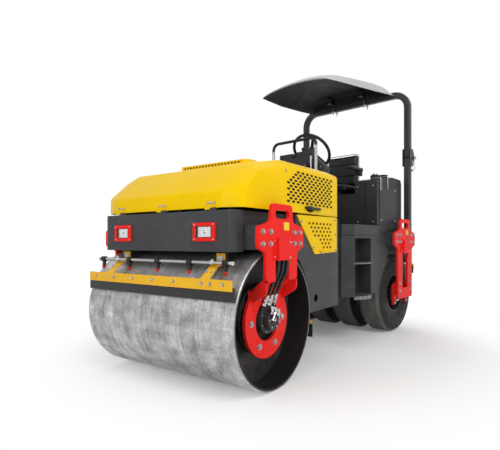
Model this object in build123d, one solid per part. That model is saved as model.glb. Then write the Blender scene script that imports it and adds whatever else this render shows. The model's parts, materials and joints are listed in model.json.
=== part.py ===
from build123d import *
import math
import os

# A ride-on combination road roller: one smooth vibrating drum in front, four
# smooth tyres behind, a centre pivot between the two frames, a tip-up hood over
# the engine and a folding roll bar that carries the sun canopy.
#
# Millimetres. While the machine is drawn, +X is forward, +Y the machine's left
# and +Z up; x = 0 is the drum axle, the ground is z = 0 and the rear frame is in
# line with the front. At the end the rear is turned about the centre pivot to
# its parked steering angle, and the whole machine is moved so that its origin
# is the bottom centre of its box.

# --- driving sizes -----------------------------------------------------------
DRUM_R = 430
DRUM_WIDTH = 1300
DRUM_HALF = DRUM_WIDTH / 2
DRUM_SHELL = 20
WHEELBASE = 2250
TYRE_R = 390
TYRE_WIDTH = 240
TYRE_GAP = 80
RIM_R = 190
STEER_AT_REST = -5.76
# Half widths: the front frame's parts stand a little inside the drum's ends, the
# rear frame is as wide as its four tyres, and each red plate hangs outside both.
FRAME_HALF = DRUM_HALF - 30
NOSE_HALF = DRUM_HALF - 70
TUB_HALF = DRUM_HALF - 90
HOOD_HALF = DRUM_HALF - 40
REAR_HALF = 1.5 * TYRE_GAP + 2 * TYRE_WIDTH
PLATE_INNER_Y = DRUM_HALF + 20
REAR_PLATE_Y = REAR_HALF + 70
PLATE = 20
WALL = 12
SHEET = 8
RUNNING = 0.08
SEAT_GAP = 0.3

# --- heights and lengths along the machine -----------------------------------
DRUM_ARCH_R = DRUM_R + 50
FRAME_BOTTOM = 405
FRAME_REAR = -960
FRAME_TOP = 1092
NOSE_FRONT = 345
NOSE_BOTTOM = 850
NOSE_TOP = 1090
HOOD_BOTTOM = 1105
HOOD_FRONT = 330
HOOD_REAR = -975
HOOD_TOP = 1465
PIVOT_X = -WHEELBASE / 2
REAR_AXLE_X = -WHEELBASE
REAR_FRONT = -1270
REAR_BOTTOM = 430
DECK_BOTTOM = 970
DECK_TOP = 1060
TANK_FRONT = -1800
TANK_REAR = -2620
SHELF_TOP = 1380
HOOP_X = -2450
HOOP_TUBE = 65
HOOP_TOP = 2505
FOLD_Z = 1790
FOLD_X = HOOP_X - 52

NODES = {}
BODIES = {}


def add(name, body, shape):
    """Keep a finished piece under its node name, on the body it moves with."""
    NODES[name] = shape
    BODIES.setdefault(body, []).append(name)


def block(x, y, z):
    """A box that fills three spans, each a (low, high) pair."""
    spans = [sorted(span) for span in (x, y, z)]
    middle = [(low + high) / 2 for low, high in spans]
    return Pos(*middle) * Box(*[high - low for low, high in spans])


def along_x(sketch, x):
    """A sketch of (y, z) points drawn out over the span x."""
    return Pos(min(x), 0, 0) * extrude(Plane.YZ * sketch, amount=abs(x[1] - x[0]), dir=(1, 0, 0))


def along_y(sketch, y):
    """A sketch of (x, z) points drawn out over the span y."""
    return Pos(0, max(y), 0) * extrude(Plane.XZ * sketch, amount=abs(y[1] - y[0]), dir=(0, -1, 0))


def along_z(sketch, z):
    """A sketch of (x, y) points drawn out over the span z."""
    return Pos(0, 0, min(z)) * extrude(sketch, amount=abs(z[1] - z[0]), dir=(0, 0, 1))


def outline(*points):
    """A closed outline through corners where they stand."""
    return Polygon(*points, align=None)


def disc(x, z, radius):
    """A circle in a sketch of (x, z) points."""
    return Pos(x, z) * Circle(radius)


def rod(start, end, radius):
    """A round bar between two points."""
    line = Vector(*end) - Vector(*start)
    base = Plane(origin=start, z_dir=line)
    return extrude(base * Circle(radius), amount=line.length)


def pipe(points, bend, radius, bore=0):
    """A round tube along straight runs joined by bends of one radius, or of a list of radii."""
    path = FilletPolyline(*points, radius=bend)
    start = Plane(origin=path @ 0, z_dir=path % 0)
    section = Circle(radius) - Circle(bore) if bore else Circle(radius)
    return sweep(start * section, path=path)


def across(shape):
    """The same shape on the machine's other side."""
    return mirror(shape, about=Plane.XZ)


def pair(shape):
    """A shape and its copy on the machine's other side, as separate solids."""
    return Compound(children=[*shape.solids(), *across(shape).solids()])


def group(*shapes):
    """Separate solids kept together in one node."""
    return Compound(children=[solid for shape in shapes for solid in shape.solids()])


# --- front frame --------------------------------------------------------------
STEP_X = -280
CARRIER_Z = (862, 1004)
CARRIER_X = (92, 245)
TIE_DOWN_X = -577
TIE_DOWN_Z = 500
TIE_DOWN_R = 29
YOKE_ROOT_HALF = 170
YOKE_TIP_R = 80
YOKE_PLATE = 30
YOKE_LEVELS = (450, 720)
YOKE_PIN_R = 35
YOKE_PIN_DEPTH = 38
CYLINDER_Y = 188
CYLINDER_Z = 545
CYLINDER_BASE_X = -600
CYLINDER_EYE_R = 26
BASE_PIN_R = 14
BASE_EAR = 12


def tub(grow, half, x, z):
    """The drum-side tub's section over a span y, its arch cut with a margin of grow."""
    section = outline((x[0], z[0]), (x[1], z[0]), (x[1], z[1]), (x[0], z[1]))
    section -= disc(0, DRUM_R, DRUM_ARCH_R + grow)
    return along_y(section, (-half, half))


def front_chassis():
    """The open-topped tub round the engine bay, with the box arms that carry the red plates."""
    shape = tub(0, FRAME_HALF, (FRAME_REAR, STEP_X), (FRAME_BOTTOM, FRAME_TOP))
    shape += tub(0, TUB_HALF, (STEP_X, HOOD_FRONT - 35), (NOSE_BOTTOM, FRAME_TOP))
    over_top = FRAME_TOP + 10
    shape -= tub(WALL, FRAME_HALF - WALL, (FRAME_REAR + WALL, STEP_X - WALL), (FRAME_BOTTOM + WALL, over_top))
    shape -= tub(
        WALL, TUB_HALF - WALL, (STEP_X - 2 * WALL, HOOD_FRONT - 35 - WALL), (NOSE_BOTTOM + WALL, over_top)
    )
    for side in (1, -1):
        for end in (1, -1):
            shape += block(
                [end * x for x in CARRIER_X],
                (side * (TUB_HALF - 1), side * PLATE_INNER_Y),
                CARRIER_Z,
            )
        shape -= along_y(
            disc(TIE_DOWN_X, TIE_DOWN_Z, TIE_DOWN_R),
            (side * (FRAME_HALF - WALL - 1), side * (FRAME_HALF + 1)),
        )
        # Tabs under the tub that the scraper arms and the spray bar hang from.
        shape += block(HANGER_X, (side * HANGER_Y[0], side * HANGER_Y[1]), (HANGER_Z, NOSE_BOTTOM))
    # Pivot ears behind the bulkhead.
    for level in YOKE_LEVELS:
        ear = outline(
            (FRAME_REAR + 1, YOKE_ROOT_HALF),
            (FRAME_REAR + 1, -YOKE_ROOT_HALF),
            (PIVOT_X, -YOKE_TIP_R),
            (PIVOT_X, YOKE_TIP_R),
        ) + Pos(PIVOT_X, 0) * Circle(YOKE_TIP_R)
        ear -= Pos(PIVOT_X, 0) * Circle(YOKE_PIN_R)
        shape += along_z(ear, (level, level + YOKE_PLATE))
    # Slot in the bulkhead for the steering cylinder's rod, and the fork at its base.
    shape -= block(
        (FRAME_REAR - 1, FRAME_REAR + WALL + 1), (CYLINDER_Y - 50, CYLINDER_Y + 50), (CYLINDER_Z - 42, CYLINDER_Z + 42)
    )
    return shape + cylinder_bracket()


def cylinder_bracket():
    """Fork on the tub's floor with the pin that the cylinder's base turns on."""
    wall_x = CYLINDER_BASE_X + CYLINDER_EYE_R + 10
    half = CYLINDER_EYE_R + 6
    top = CYLINDER_Z + CYLINDER_EYE_HALF + BASE_EAR + SEAT_GAP
    shape = block((wall_x, wall_x + 14), (CYLINDER_Y - half, CYLINDER_Y + half), (FRAME_BOTTOM + WALL - 1, top))
    for side in (1, -1):
        near = CYLINDER_Z + side * (CYLINDER_EYE_HALF + SEAT_GAP)
        ear = Pos(CYLINDER_BASE_X, CYLINDER_Y) * Circle(half)
        ear += outline(
            (CYLINDER_BASE_X, CYLINDER_Y - half),
            (wall_x + 1, CYLINDER_Y - half),
            (wall_x + 1, CYLINDER_Y + half),
            (CYLINDER_BASE_X, CYLINDER_Y + half),
        )
        shape += along_z(ear, (near, near + side * BASE_EAR))
    pin = Pos(CYLINDER_BASE_X, CYLINDER_Y) * Circle(BASE_PIN_R)
    return shape + along_z(pin, (CYLINDER_Z - CYLINDER_EYE_HALF - 1, CYLINDER_Z + CYLINDER_EYE_HALF + 1))


CYLINDER_EYE_HALF = 15


def pivot_pins():
    """Two short pins, one through each ear and into the centre block."""
    pins = []
    for level, depth in ((YOKE_LEVELS[0], (0, YOKE_PLATE + YOKE_PIN_DEPTH)), (YOKE_LEVELS[1], (-YOKE_PIN_DEPTH, YOKE_PLATE))):
        pins.append(along_z(Pos(PIVOT_X, 0) * Circle(YOKE_PIN_R), (level + depth[0], level + depth[1])))
    return group(*pins)


HANGER_X = (262, 292)
HANGER_Y = (425, 460)
HANGER_Z = 800


def nose_panel():
    """The wrapped sheet across the front that holds the two lamps."""
    rear = CARRIER_X[1] + 6
    outer = outline((rear, -NOSE_HALF), (NOSE_FRONT, -NOSE_HALF), (NOSE_FRONT, NOSE_HALF), (rear, NOSE_HALF))
    corners = [v for v in outer.vertices() if v.X > NOSE_FRONT - 1]
    outer = fillet(corners, 40)
    inner = outline(
        (rear - 1, -NOSE_HALF + SHEET),
        (NOSE_FRONT - SHEET, -NOSE_HALF + SHEET),
        (NOSE_FRONT - SHEET, NOSE_HALF - SHEET),
        (rear - 1, NOSE_HALF - SHEET),
    )
    corners = [v for v in inner.vertices() if v.X > NOSE_FRONT - SHEET - 1]
    inner = fillet(corners, 40 - SHEET)
    shape = along_z(outer - inner, (NOSE_BOTTOM, NOSE_TOP))
    # A lip turned in along the bottom edge reaches back to the tub.
    lip = outer & outline((HOOD_FRONT - 35 + SEAT_GAP, -600), (400, -600), (400, 600), (HOOD_FRONT - 35 + SEAT_GAP, 600))
    shape += along_z(lip, (NOSE_BOTTOM, NOSE_BOTTOM + SHEET))
    side_lip = outer & (
        outline((rear, TUB_HALF + SEAT_GAP), (400, TUB_HALF + SEAT_GAP), (400, 600), (rear, 600))
        + outline((rear, -TUB_HALF - SEAT_GAP), (400, -TUB_HALF - SEAT_GAP), (400, -600), (rear, -600))
    )
    shape += along_z(side_lip, (NOSE_BOTTOM, NOSE_BOTTOM + SHEET))
    for side in (1, -1):
        shape -= block(
            (NOSE_FRONT - SHEET - 1, NOSE_FRONT + 1),
            (side * LAMP_Y - LAMP_GLASS[0] / 2, side * LAMP_Y + LAMP_GLASS[0] / 2),
            (LAMP_Z - LAMP_GLASS[1] / 2, LAMP_Z + LAMP_GLASS[1] / 2),
        )
    # The hood hinges' other knuckles, each with the pin its hood leaf turns on.
    for y in HINGE_Y:
        shape += block((NOSE_FRONT - SHEET, NOSE_FRONT), (y + 1, y + HINGE_HALF), (NOSE_TOP - 1, HINGE_Z))
        shape += rod((HINGE_X, y + 1, HINGE_Z), (HINGE_X, y + HINGE_HALF, HINGE_Z), KNUCKLE_R)
        shape += rod((HINGE_X, y - HINGE_HALF, HINGE_Z), (HINGE_X, y + HINGE_HALF, HINGE_Z), HINGE_PIN_R)
    return shape


LAMP_Y = 370
LAMP_Z = 965
LAMP_FRAME = (170, 108)
LAMP_GLASS = (118, 66)
LAMP_FRAME_DEPTH = 12


def lamp_frames():
    frame = RectangleRounded(*LAMP_FRAME, 6) - Rectangle(*LAMP_GLASS)
    one = along_x(Pos(LAMP_Y, LAMP_Z) * frame, (NOSE_FRONT, NOSE_FRONT + LAMP_FRAME_DEPTH))
    return pair(one)


def lamp_lenses():
    glass = Rectangle(LAMP_GLASS[0] - 1, LAMP_GLASS[1] - 1)
    back = along_x(Pos(LAMP_Y, LAMP_Z) * glass, (NOSE_FRONT - 45, NOSE_FRONT + 5))
    back = chamfer(back.edges().group_by(Axis.X)[0], 14)
    return pair(back)


# Half outline of a hanging plate about its centre line, as (offset, height).
HEAD_TOP = 1135
HEAD_HALF = 122
SHOULDER_Z = 1003
PLATE_HALF = 260
WAIST_Z = 868
LEG_HALF = 177
LEG_INNER = 77
EYE = (158, 52)
EYE_Z = 1072


def plate_outline(low):
    """Head, shoulders and outer legs of a hanging plate down to the height low."""
    half = [
        (HEAD_HALF - 6, HEAD_TOP),
        (HEAD_HALF + 6, SHOULDER_Z + 22),
        (PLATE_HALF, SHOULDER_Z - 8),
        (PLATE_HALF, WAIST_Z + 6),
        (LEG_HALF, WAIST_Z - 26),
        (LEG_HALF, low),
    ]
    return half + [(-x, z) for x, z in reversed(half)]


def rounded_plate(low, bottom_radius):
    face = outline(*plate_outline(low))
    corners = face.vertices()
    soft = [v for v in corners if v.Y > low + 1]
    face = fillet(soft, 30)
    ends = [v for v in face.vertices() if abs(v.Y - low) < 1 and abs(abs(v.X) - LEG_HALF) < 1]
    face = fillet(ends, bottom_radius)
    return face - Pos(0, EYE_Z) * RectangleRounded(*EYE, 24)


FRONT_LEG_LOW = 685
WINDOW_TOP = 922
COVER_HALF = 76
COVER_Z = (797, 928)
COVER_DEPTH = 26
COVER_WALL = 5


def hose_cover(middle_x, outer_y):
    """A channel on a plate's outer face, open at its lower end, which the hoses leave from."""
    shape = block((middle_x - COVER_HALF, middle_x + COVER_HALF), (outer_y, outer_y + COVER_DEPTH), COVER_Z)
    return shape - block(
        (middle_x - COVER_HALF + COVER_WALL, middle_x + COVER_HALF - COVER_WALL),
        (outer_y - 1, outer_y + COVER_DEPTH - COVER_WALL),
        (COVER_Z[0] - 1, COVER_Z[1] - COVER_WALL),
    )


def front_support_plates():
    face = rounded_plate(FRONT_LEG_LOW, 12)
    gap = Pos(0, (FRONT_LEG_LOW - 10 + WINDOW_TOP) / 2) * Rectangle(2 * LEG_INNER, WINDOW_TOP - FRONT_LEG_LOW + 10)
    plate = along_y(face - gap, (PLATE_INNER_Y, PLATE_INNER_Y + PLATE))
    return pair(group(plate, hose_cover(0, PLATE_INNER_Y + PLATE)))


# --- drum bearing, bracket and motor, machine's left --------------------------
RING_R = 235
RING_HOLE_R = 128
RING_Y = (DRUM_HALF - 90, DRUM_HALF - 70)
BUFFER_R = 32
BUFFER_PITCH_R = 187
BUFFERS = 6
CARRIER_PLATE_R = 222
CARRIER_PLATE_Y = (DRUM_HALF - 136, DRUM_HALF - 120)
DRUM_DISC_Y = (DRUM_HALF - 184, DRUM_HALF - 164)
DRUM_HUB_R = 95
SHAFT_R = 40


def drum_brackets():
    """Ring in front of the drum's end, hung from the plate's two legs by bent arms."""
    ring = along_y(disc(0, DRUM_R, RING_R) - disc(0, DRUM_R, RING_HOLE_R), RING_Y)
    arm = outline(
        (RING_Y[0], DRUM_R + 60),
        (RING_Y[1], DRUM_R + 60),
        (RING_Y[1], 588),
        (PLATE_INNER_Y + PLATE, 656),
        (PLATE_INNER_Y + PLATE, FRONT_LEG_LOW),
        (PLATE_INNER_Y - 4, FRONT_LEG_LOW),
        (PLATE_INNER_Y - 4, 668),
        (RING_Y[0], 602),
    )
    for end in (1, -1):
        leg = along_x(arm, (end * LEG_INNER, end * LEG_HALF))
        ring += leg - along_y(disc(0, DRUM_R, RING_R - 1), (RING_Y[0] - 1, RING_Y[1] + 1))
        web = outline(
            (RING_Y[1] - 2, 578),
            (PLATE_INNER_Y + PLATE, 646),
            (PLATE_INNER_Y + PLATE - 6, 612),
            (RING_Y[1] - 2, 516),
        )
        ring += along_x(web, (end * (LEG_HALF - 14), end * LEG_HALF)) - along_y(
            disc(0, DRUM_R, RING_HOLE_R + 10), RING_Y
        )
    return pair(ring)


def rubber_buffers():
    one = along_y(disc(0, DRUM_R + BUFFER_PITCH_R, BUFFER_R), (CARRIER_PLATE_Y[1], RING_Y[0]))
    turns = [360 * (n + 0.5) / BUFFERS for n in range(BUFFERS)]
    axis = Axis((0, 0, DRUM_R), (0, 1, 0))
    return pair(group(*[one.rotate(axis, turn) for turn in turns]))


MOTOR_R = 92
MOTOR_OUT = DRUM_HALF - 22


def drum_motors():
    """Carrier plate, motor casing with three ports on its top, and the shaft into the drum's hub."""
    carrier = along_y(disc(0, DRUM_R, CARRIER_PLATE_R), CARRIER_PLATE_Y)
    casing = rod((0, CARRIER_PLATE_Y[0], DRUM_R), (0, MOTOR_OUT - 40, DRUM_R), MOTOR_R)
    casing += rod((0, MOTOR_OUT - 41, DRUM_R), (0, MOTOR_OUT, DRUM_R), MOTOR_R - 26)
    shaft = rod((0, DRUM_DISC_Y[0] - 30, DRUM_R), (0, CARRIER_PLATE_Y[1], DRUM_R), SHAFT_R)
    shape = carrier + casing + shaft
    for x in HOSE_X:
        shape += rod(port_point(x, -90), port_point(x, 0), PORT_R)
    return pair(shape)


PORT_R = 15
HOSE_R = 10
HOSE_X = (54, 6, -42)
PORT_Y = MOTOR_OUT - 25
PORT_Z = DRUM_R + 115
PORT_LEAN = (0.419, 0.908)


def port_point(x, along):
    """A point on a motor port's axis, at a distance along it from the port's mouth."""
    return (x, PORT_Y + along * PORT_LEAN[0], PORT_Z + along * PORT_LEAN[1])


ELBOW_Y = PLATE_INNER_Y + 29
ELBOW_R = 11
ELBOW_Z = 903
ELBOW_END = 846


def hose_elbows():
    """Steel elbows from the tub's side out over the drum's edge and down behind the covers."""
    made = []
    for side, places in ((1, HOSE_X), (-1, HOSE_X[::2])):
        for x in places:
            made.append(
                pipe([(x, side * TUB_HALF, ELBOW_Z), (x, side * ELBOW_Y, ELBOW_Z), (x, side * ELBOW_Y, ELBOW_END)], 28, ELBOW_R)
            )
    return group(*made)


# Hoses from elbow to port: both places along the machine.
HOSE_STARTS = tuple((x, x) for x in HOSE_X)

# A drum hose's route between its elbow and its port: sideways share of the way
# towards the port, place across the machine, height.
HOSE_ROUTE = ((0.0, ELBOW_Y, 790), (0.25, ELBOW_Y - 8, 722), (0.7, ELBOW_Y - 46, 658))


def hose_points(start_x, port_x, side):
    drift = port_x - start_x
    points = [(start_x, ELBOW_Y, ELBOW_END)]
    points += [(start_x + share * drift, y, z) for share, y, z in HOSE_ROUTE]
    points += [port_point(port_x, 56), port_point(port_x, 0)]
    return [(x, side * y, z) for x, y, z in points]


def hose(start_x, port_x, side):
    """One hose: runs joined by arcs as large as the runs allow."""
    points = [Vector(*p) for p in hose_points(start_x, port_x, side)]
    radii = []
    for before, here, after in zip(points, points[1:], points[2:]):
        turn = math.radians((here - before).get_angle(after - here))
        radii.append(0.45 * min((here - before).length, (after - here).length) / math.tan(turn / 2))
    print("hose radii", [round(r) for r in radii])
    return pipe(points, radii, HOSE_R)


# --- drum ---------------------------------------------------------------------
def drum_shell():
    shell = along_y(disc(0, DRUM_R, DRUM_R), (-DRUM_WIDTH / 2, DRUM_WIDTH / 2))
    shell = chamfer(shell.edges().filter_by(GeomType.CIRCLE), 5)
    return shell - along_y(disc(0, DRUM_R, DRUM_R - DRUM_SHELL), (-DRUM_WIDTH, DRUM_WIDTH))


def drum_end_discs():
    end = along_y(disc(0, DRUM_R, DRUM_R - DRUM_SHELL), DRUM_DISC_Y)
    end += along_y(disc(0, DRUM_R, DRUM_HUB_R), (DRUM_DISC_Y[0] - 40, DRUM_DISC_Y[1] + 16))
    end -= along_y(disc(0, DRUM_R, SHAFT_R + RUNNING), (DRUM_DISC_Y[0] - 60, DRUM_DISC_Y[1] + 20))
    return pair(end)


# --- scrapers and water spray at the drum -------------------------------------
BAR_X = 420
BAR_Z = (640, 700)
BAR_HALF = DRUM_HALF - 15
BLADE_Z = (582, 660)
BLADE_HALF = DRUM_HALF - 5
SPRAY_X = 370
SPRAY_Z = 788
SPRAY_R = 11
SPRAY_HALF = DRUM_HALF - 52
NOZZLE_PITCH = 275
NOZZLES = 5
REAR_BAR_X = -478


def drum_scraper_bars():
    front = block((BAR_X, BAR_X + SHEET), (-BAR_HALF, BAR_HALF), BAR_Z)
    rear = block((REAR_BAR_X - SHEET, REAR_BAR_X), (-BAR_HALF, BAR_HALF), (298, 350))
    for side in (1, -1):
        rear += block((REAR_BAR_X - SHEET, REAR_BAR_X), (side * 380, side * 440), (340, FRAME_BOTTOM))
    return group(front, rear)


def drum_scraper_blades():
    front = block((BAR_X - 8 - SEAT_GAP, BAR_X - SEAT_GAP), (-BLADE_HALF, BLADE_HALF), BLADE_Z)
    rear = block((REAR_BAR_X + SEAT_GAP, REAR_BAR_X + 8 + SEAT_GAP), (-BLADE_HALF, BLADE_HALF), (240, 330))
    return group(front, rear)


def scraper_arms():
    """Bent flat arms from the tabs under the nose to the scraper bar."""
    arm = outline(
        (HANGER_X[1], 848),
        (HANGER_X[1] + 6, 848),
        (HANGER_X[1] + 6, 760),
        (380, 742),
        (BAR_X + 14, 700),
        (BAR_X + 14, 650),
        (BAR_X + SHEET, 650),
        (BAR_X + SHEET, 700 + 0.5),
        (376, 736),
        (HANGER_X[1], 754),
    )
    return pair(along_y(arm, (HANGER_Y[0], HANGER_Y[1])))


def spray_bar():
    bar = rod((SPRAY_X, -SPRAY_HALF, SPRAY_Z), (SPRAY_X, SPRAY_HALF, SPRAY_Z), SPRAY_R)
    for side in (1, -1):
        bar += block(
            (HANGER_X[1] + 6, SPRAY_X + 8),
            (side * (HANGER_Y[0] + 4), side * (HANGER_Y[1] - 4)),
            (SPRAY_Z - 6, SPRAY_Z + 6),
        )
    return bar


def spray_nozzles():
    nozzles = []
    for n in range(NOZZLES):
        y = (n - (NOZZLES - 1) / 2) * NOZZLE_PITCH
        ring = rod((SPRAY_X, y - 16, SPRAY_Z), (SPRAY_X, y + 16, SPRAY_Z), SPRAY_R + 8)
        tip = rod((SPRAY_X, y, SPRAY_Z - SPRAY_R - 4), (SPRAY_X + 4, y, SPRAY_Z - 48), 12)
        bore = rod((SPRAY_X, y - 20, SPRAY_Z), (SPRAY_X, y + 20, SPRAY_Z), SPRAY_R)
        nozzles.append(ring + tip - bore)
    return group(*nozzles)


# --- lower yellow panels and the engine ---------------------------------------
PANEL = ((STEP_X - 4, 1088), (FRAME_REAR + 4, 1088), (FRAME_REAR + 4, 828), (-553, 816))
HOLE_R = 12
# Rows of holes in the lower panel: how many, height.
PANEL_ROWS = ((7, 1043), (6, 1012), (5, 981), (5, 950), (4, 919), (3, 888), (3, 857))


def lower_grille_panels():
    face = outline(*PANEL)
    return pair(along_y(face, (FRAME_HALF, FRAME_HALF + SHEET)))


def engine_block():
    shape = block(ENGINE_X, (-ENGINE_HALF, ENGINE_HALF), ENGINE_Z)
    for side in (1, -1):
        shape += block(
            ENGINE_X, (side * (ENGINE_HALF - 60), side * ENGINE_HALF), (FRAME_BOTTOM + WALL, ENGINE_Z[0] + 1)
        )
    return shape


ENGINE_X = (-900, -520)
ENGINE_HALF = 300
ENGINE_Z = (640, 1330)


# --- hood ---------------------------------------------------------------------
# Faces of the hood, each a point on it and the way it looks out. The front
# corners and the top's edges are cut on both sides.
SLOPE_LOW = (HOOD_FRONT, 0, 1200)
SLOPE_HIGH = (100, 0, 1395)
CORNER_FRONT_Y = HOOD_HALF - 130
CORNER_SIDE_X = 280
RISE_END = (-200, 0, 1455)


def outward(*points):
    """The plane through three points, looking away from the hood's inside."""
    a, b, c = (Vector(*p) for p in points)
    normal = (b - a).cross(c - a).normalized()
    inside = Vector(-400, 0, 1200)
    if normal.dot(a - inside) < 0:
        normal = -normal
    return a, normal


def hood_faces():
    across_y = 100
    faces = [
        outward((HOOD_FRONT, 0, 1100), (HOOD_FRONT, across_y, 1100), (HOOD_FRONT, 0, 1200)),
        outward(SLOPE_LOW, SLOPE_HIGH, (HOOD_FRONT, across_y, 1200)),
        outward(SLOPE_HIGH, RISE_END, (100, across_y, 1395)),
        outward((-200, 0, 1455), (-900, 0, HOOD_TOP), (-200, across_y, 1455)),
        outward((-900, 0, HOOD_TOP), (HOOD_REAR, 0, 1440), (-900, across_y, HOOD_TOP)),
        outward((HOOD_REAR, 0, 1440), (HOOD_REAR, 0, 1100), (HOOD_REAR, across_y, 1100)),
    ]
    for side in (1, -1):
        front, out = side * CORNER_FRONT_Y, side * HOOD_HALF
        faces += [
            outward((0, out, 1100), (100, out, 1100), (0, out, 1200)),
            outward((HOOD_FRONT, front, 1100), (CORNER_SIDE_X, out, 1100), (HOOD_FRONT, front, 1200)),
            outward((HOOD_FRONT, front, 1200), (CORNER_SIDE_X, out, 1215), (100, side * (HOOD_HALF - 110), 1395)),
            outward((-200, out, 1412), (-900, out, 1422), (-200, side * (HOOD_HALF - 70), 1455)),
            outward((-200, out, 1412), (148, out, 1330), (-200, side * (HOOD_HALF - 70), 1455)),
        ]
    return faces


def hood_form(inset):
    """The hood's outer form, moved in by inset on every face but its open underside."""
    shape = block((HOOD_REAR - 50, HOOD_FRONT + 50), (-HOOD_HALF - 50, HOOD_HALF + 50), (HOOD_BOTTOM, 1600))
    for point, normal in hood_faces():
        shape = split(shape, bisect_by=Plane(origin=point - normal * inset, z_dir=normal), keep=Keep.BOTTOM)
    return shape


SCOOP_X = (-760, -130)
SCOOP_HALF = 330
SCOOP_TOP = 1478


def hood_shell():
    """Sheet hood with its raised scoop, open underneath and at the grilles."""
    shape = hood_form(0)
    scoop = block(SCOOP_X, (-SCOOP_HALF, SCOOP_HALF), (1440, SCOOP_TOP))
    shape += chamfer(scoop.edges().filter_by(Axis.Z), 40)
    shape -= Pos(0, 0, -1) * hood_form(SHEET)
    window = along_y(grille_outline(0), (-HOOD_HALF - 1, HOOD_HALF + 1))
    return shape - window


# Corners of the side grille's window, as (x, z); the upper front one is cut.
GRILLE = ((-322, 1172), (-322, 1292), (-416, 1388), (-892, 1388), (-892, 1172))


def grille_outline(inset):
    face = outline(*GRILLE)
    return offset(face, amount=-inset) if inset else face


def hood_grilles():
    """Perforated panels set in the hood's sides."""
    face = grille_outline(SEAT_GAP)
    return pair(along_y(face, (HOOD_HALF - SHEET, HOOD_HALF - 2)))


HINGE_Y = (-410, 0, 410)
HINGE_X = HOOD_FRONT + 12
HINGE_Z = 1100
HINGE_HALF = 40
KNUCKLE_R = 6
HINGE_PIN_R = 3
LEAF_TOP = 1150


def hood_hinges():
    """Leaves on the hood's front edge, each with its half of the knuckle."""
    leaves = []
    for y in HINGE_Y:
        leaf = block((HOOD_FRONT, HOOD_FRONT + 4), (y - HINGE_HALF, y + HINGE_HALF), (HINGE_Z, LEAF_TOP))
        leaf += rod((HINGE_X, y - HINGE_HALF, HINGE_Z), (HINGE_X, y - 1, HINGE_Z), KNUCKLE_R)
        leaf += block((HOOD_FRONT, HINGE_X), (y - HINGE_HALF, y - 1), (HINGE_Z + 1, HINGE_Z + KNUCKLE_R))
        leaf -= rod((HINGE_X, y - HINGE_HALF - 1, HINGE_Z), (HINGE_X, y, HINGE_Z), HINGE_PIN_R + RUNNING)
        leaves.append(leaf)
    return group(*leaves)


LATCH_X = (-690, -500)
LATCH_Z = 1150


def hood_latches():
    grip = block(LATCH_X, (HOOD_HALF, HOOD_HALF + 22), (LATCH_Z - 11, LATCH_Z + 11))
    grip = chamfer(grip.edges().filter_by(Axis.Z), 8)
    return pair(grip)


# --- centre pivot and steering cylinder ---------------------------------------
BLOCK_X_HALF = 65
BLOCK_Y_HALF = 75
BLOCK_GAP = 2
ARM_RADIUS = 200
ARM_HALF = 9
ARM_HOLE_R = 31
ARM_EYE_R = 46
OSCILLATION_Z = 600
OSCILLATION_R = 45
BARREL_R = 32
BARREL_BORE = 26
BARREL_X = (-925, -640)
GLAND = 20
ROD_R = 15
ROD_PIN_R = 16
FORK_REACH = 66
FORK_PLATE = 12
FORK_GAP = 2.5
FORK_EYE_R = 30
ROD_END_X = -745


def pivot_block():
    """Centre block between the two ears, with the steering arm, the pins' bores and the bore the rear turns in."""
    low, high = YOKE_LEVELS[0] + YOKE_PLATE, YOKE_LEVELS[1]
    shape = block(
        (PIVOT_X - BLOCK_X_HALF, PIVOT_X + BLOCK_X_HALF),
        (-BLOCK_Y_HALF, BLOCK_Y_HALF),
        (low + BLOCK_GAP, high - BLOCK_GAP),
    )
    arm = outline(
        (PIVOT_X - ARM_EYE_R, BLOCK_Y_HALF - 1),
        (PIVOT_X + ARM_EYE_R, BLOCK_Y_HALF - 1),
        (PIVOT_X + ARM_EYE_R, ARM_RADIUS),
        (PIVOT_X - ARM_EYE_R, ARM_RADIUS),
    ) + Pos(PIVOT_X, ARM_RADIUS) * Circle(ARM_EYE_R)
    shape += along_z(arm, (CYLINDER_Z - ARM_HALF, CYLINDER_Z + ARM_HALF))
    shape -= along_z(
        Pos(PIVOT_X, ARM_RADIUS) * Circle(ARM_HOLE_R), (CYLINDER_Z - ARM_HALF - 1, CYLINDER_Z + ARM_HALF + 1)
    )
    bore = Pos(PIVOT_X, 0) * Circle(YOKE_PIN_R + RUNNING)
    shape -= along_z(bore, (low, low + YOKE_PIN_DEPTH + BLOCK_GAP))
    shape -= along_z(bore, (high - YOKE_PIN_DEPTH - BLOCK_GAP, high))
    return shape - rod(
        (PIVOT_X - BLOCK_X_HALF - 1, 0, OSCILLATION_Z),
        (PIVOT_X + BLOCK_X_HALF + 1, 0, OSCILLATION_Z),
        OSCILLATION_R + RUNNING,
    )


def steering_barrel():
    """The steering cylinder's barrel, hollow, with a gland at one end and an eye at the other."""
    low, high = BARREL_X
    tube = rod((high, CYLINDER_Y, CYLINDER_Z), (low, CYLINDER_Y, CYLINDER_Z), BARREL_R)
    tube -= rod((high - 10, CYLINDER_Y, CYLINDER_Z), (low + GLAND, CYLINDER_Y, CYLINDER_Z), BARREL_BORE)
    tube -= rod((low + GLAND + 1, CYLINDER_Y, CYLINDER_Z), (low - 1, CYLINDER_Y, CYLINDER_Z), ROD_R + RUNNING)
    eye = Pos(CYLINDER_BASE_X, CYLINDER_Y) * Circle(CYLINDER_EYE_R)
    eye += outline(
        (CYLINDER_BASE_X, CYLINDER_Y - 18),
        (high - 1, CYLINDER_Y - 18),
        (high - 1, CYLINDER_Y + 18),
        (CYLINDER_BASE_X, CYLINDER_Y + 18),
    )
    eye -= Pos(CYLINDER_BASE_X, CYLINDER_Y) * Circle(BASE_PIN_R + RUNNING)
    return tube + along_z(eye, (CYLINDER_Z - CYLINDER_EYE_HALF, CYLINDER_Z + CYLINDER_EYE_HALF))


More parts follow.
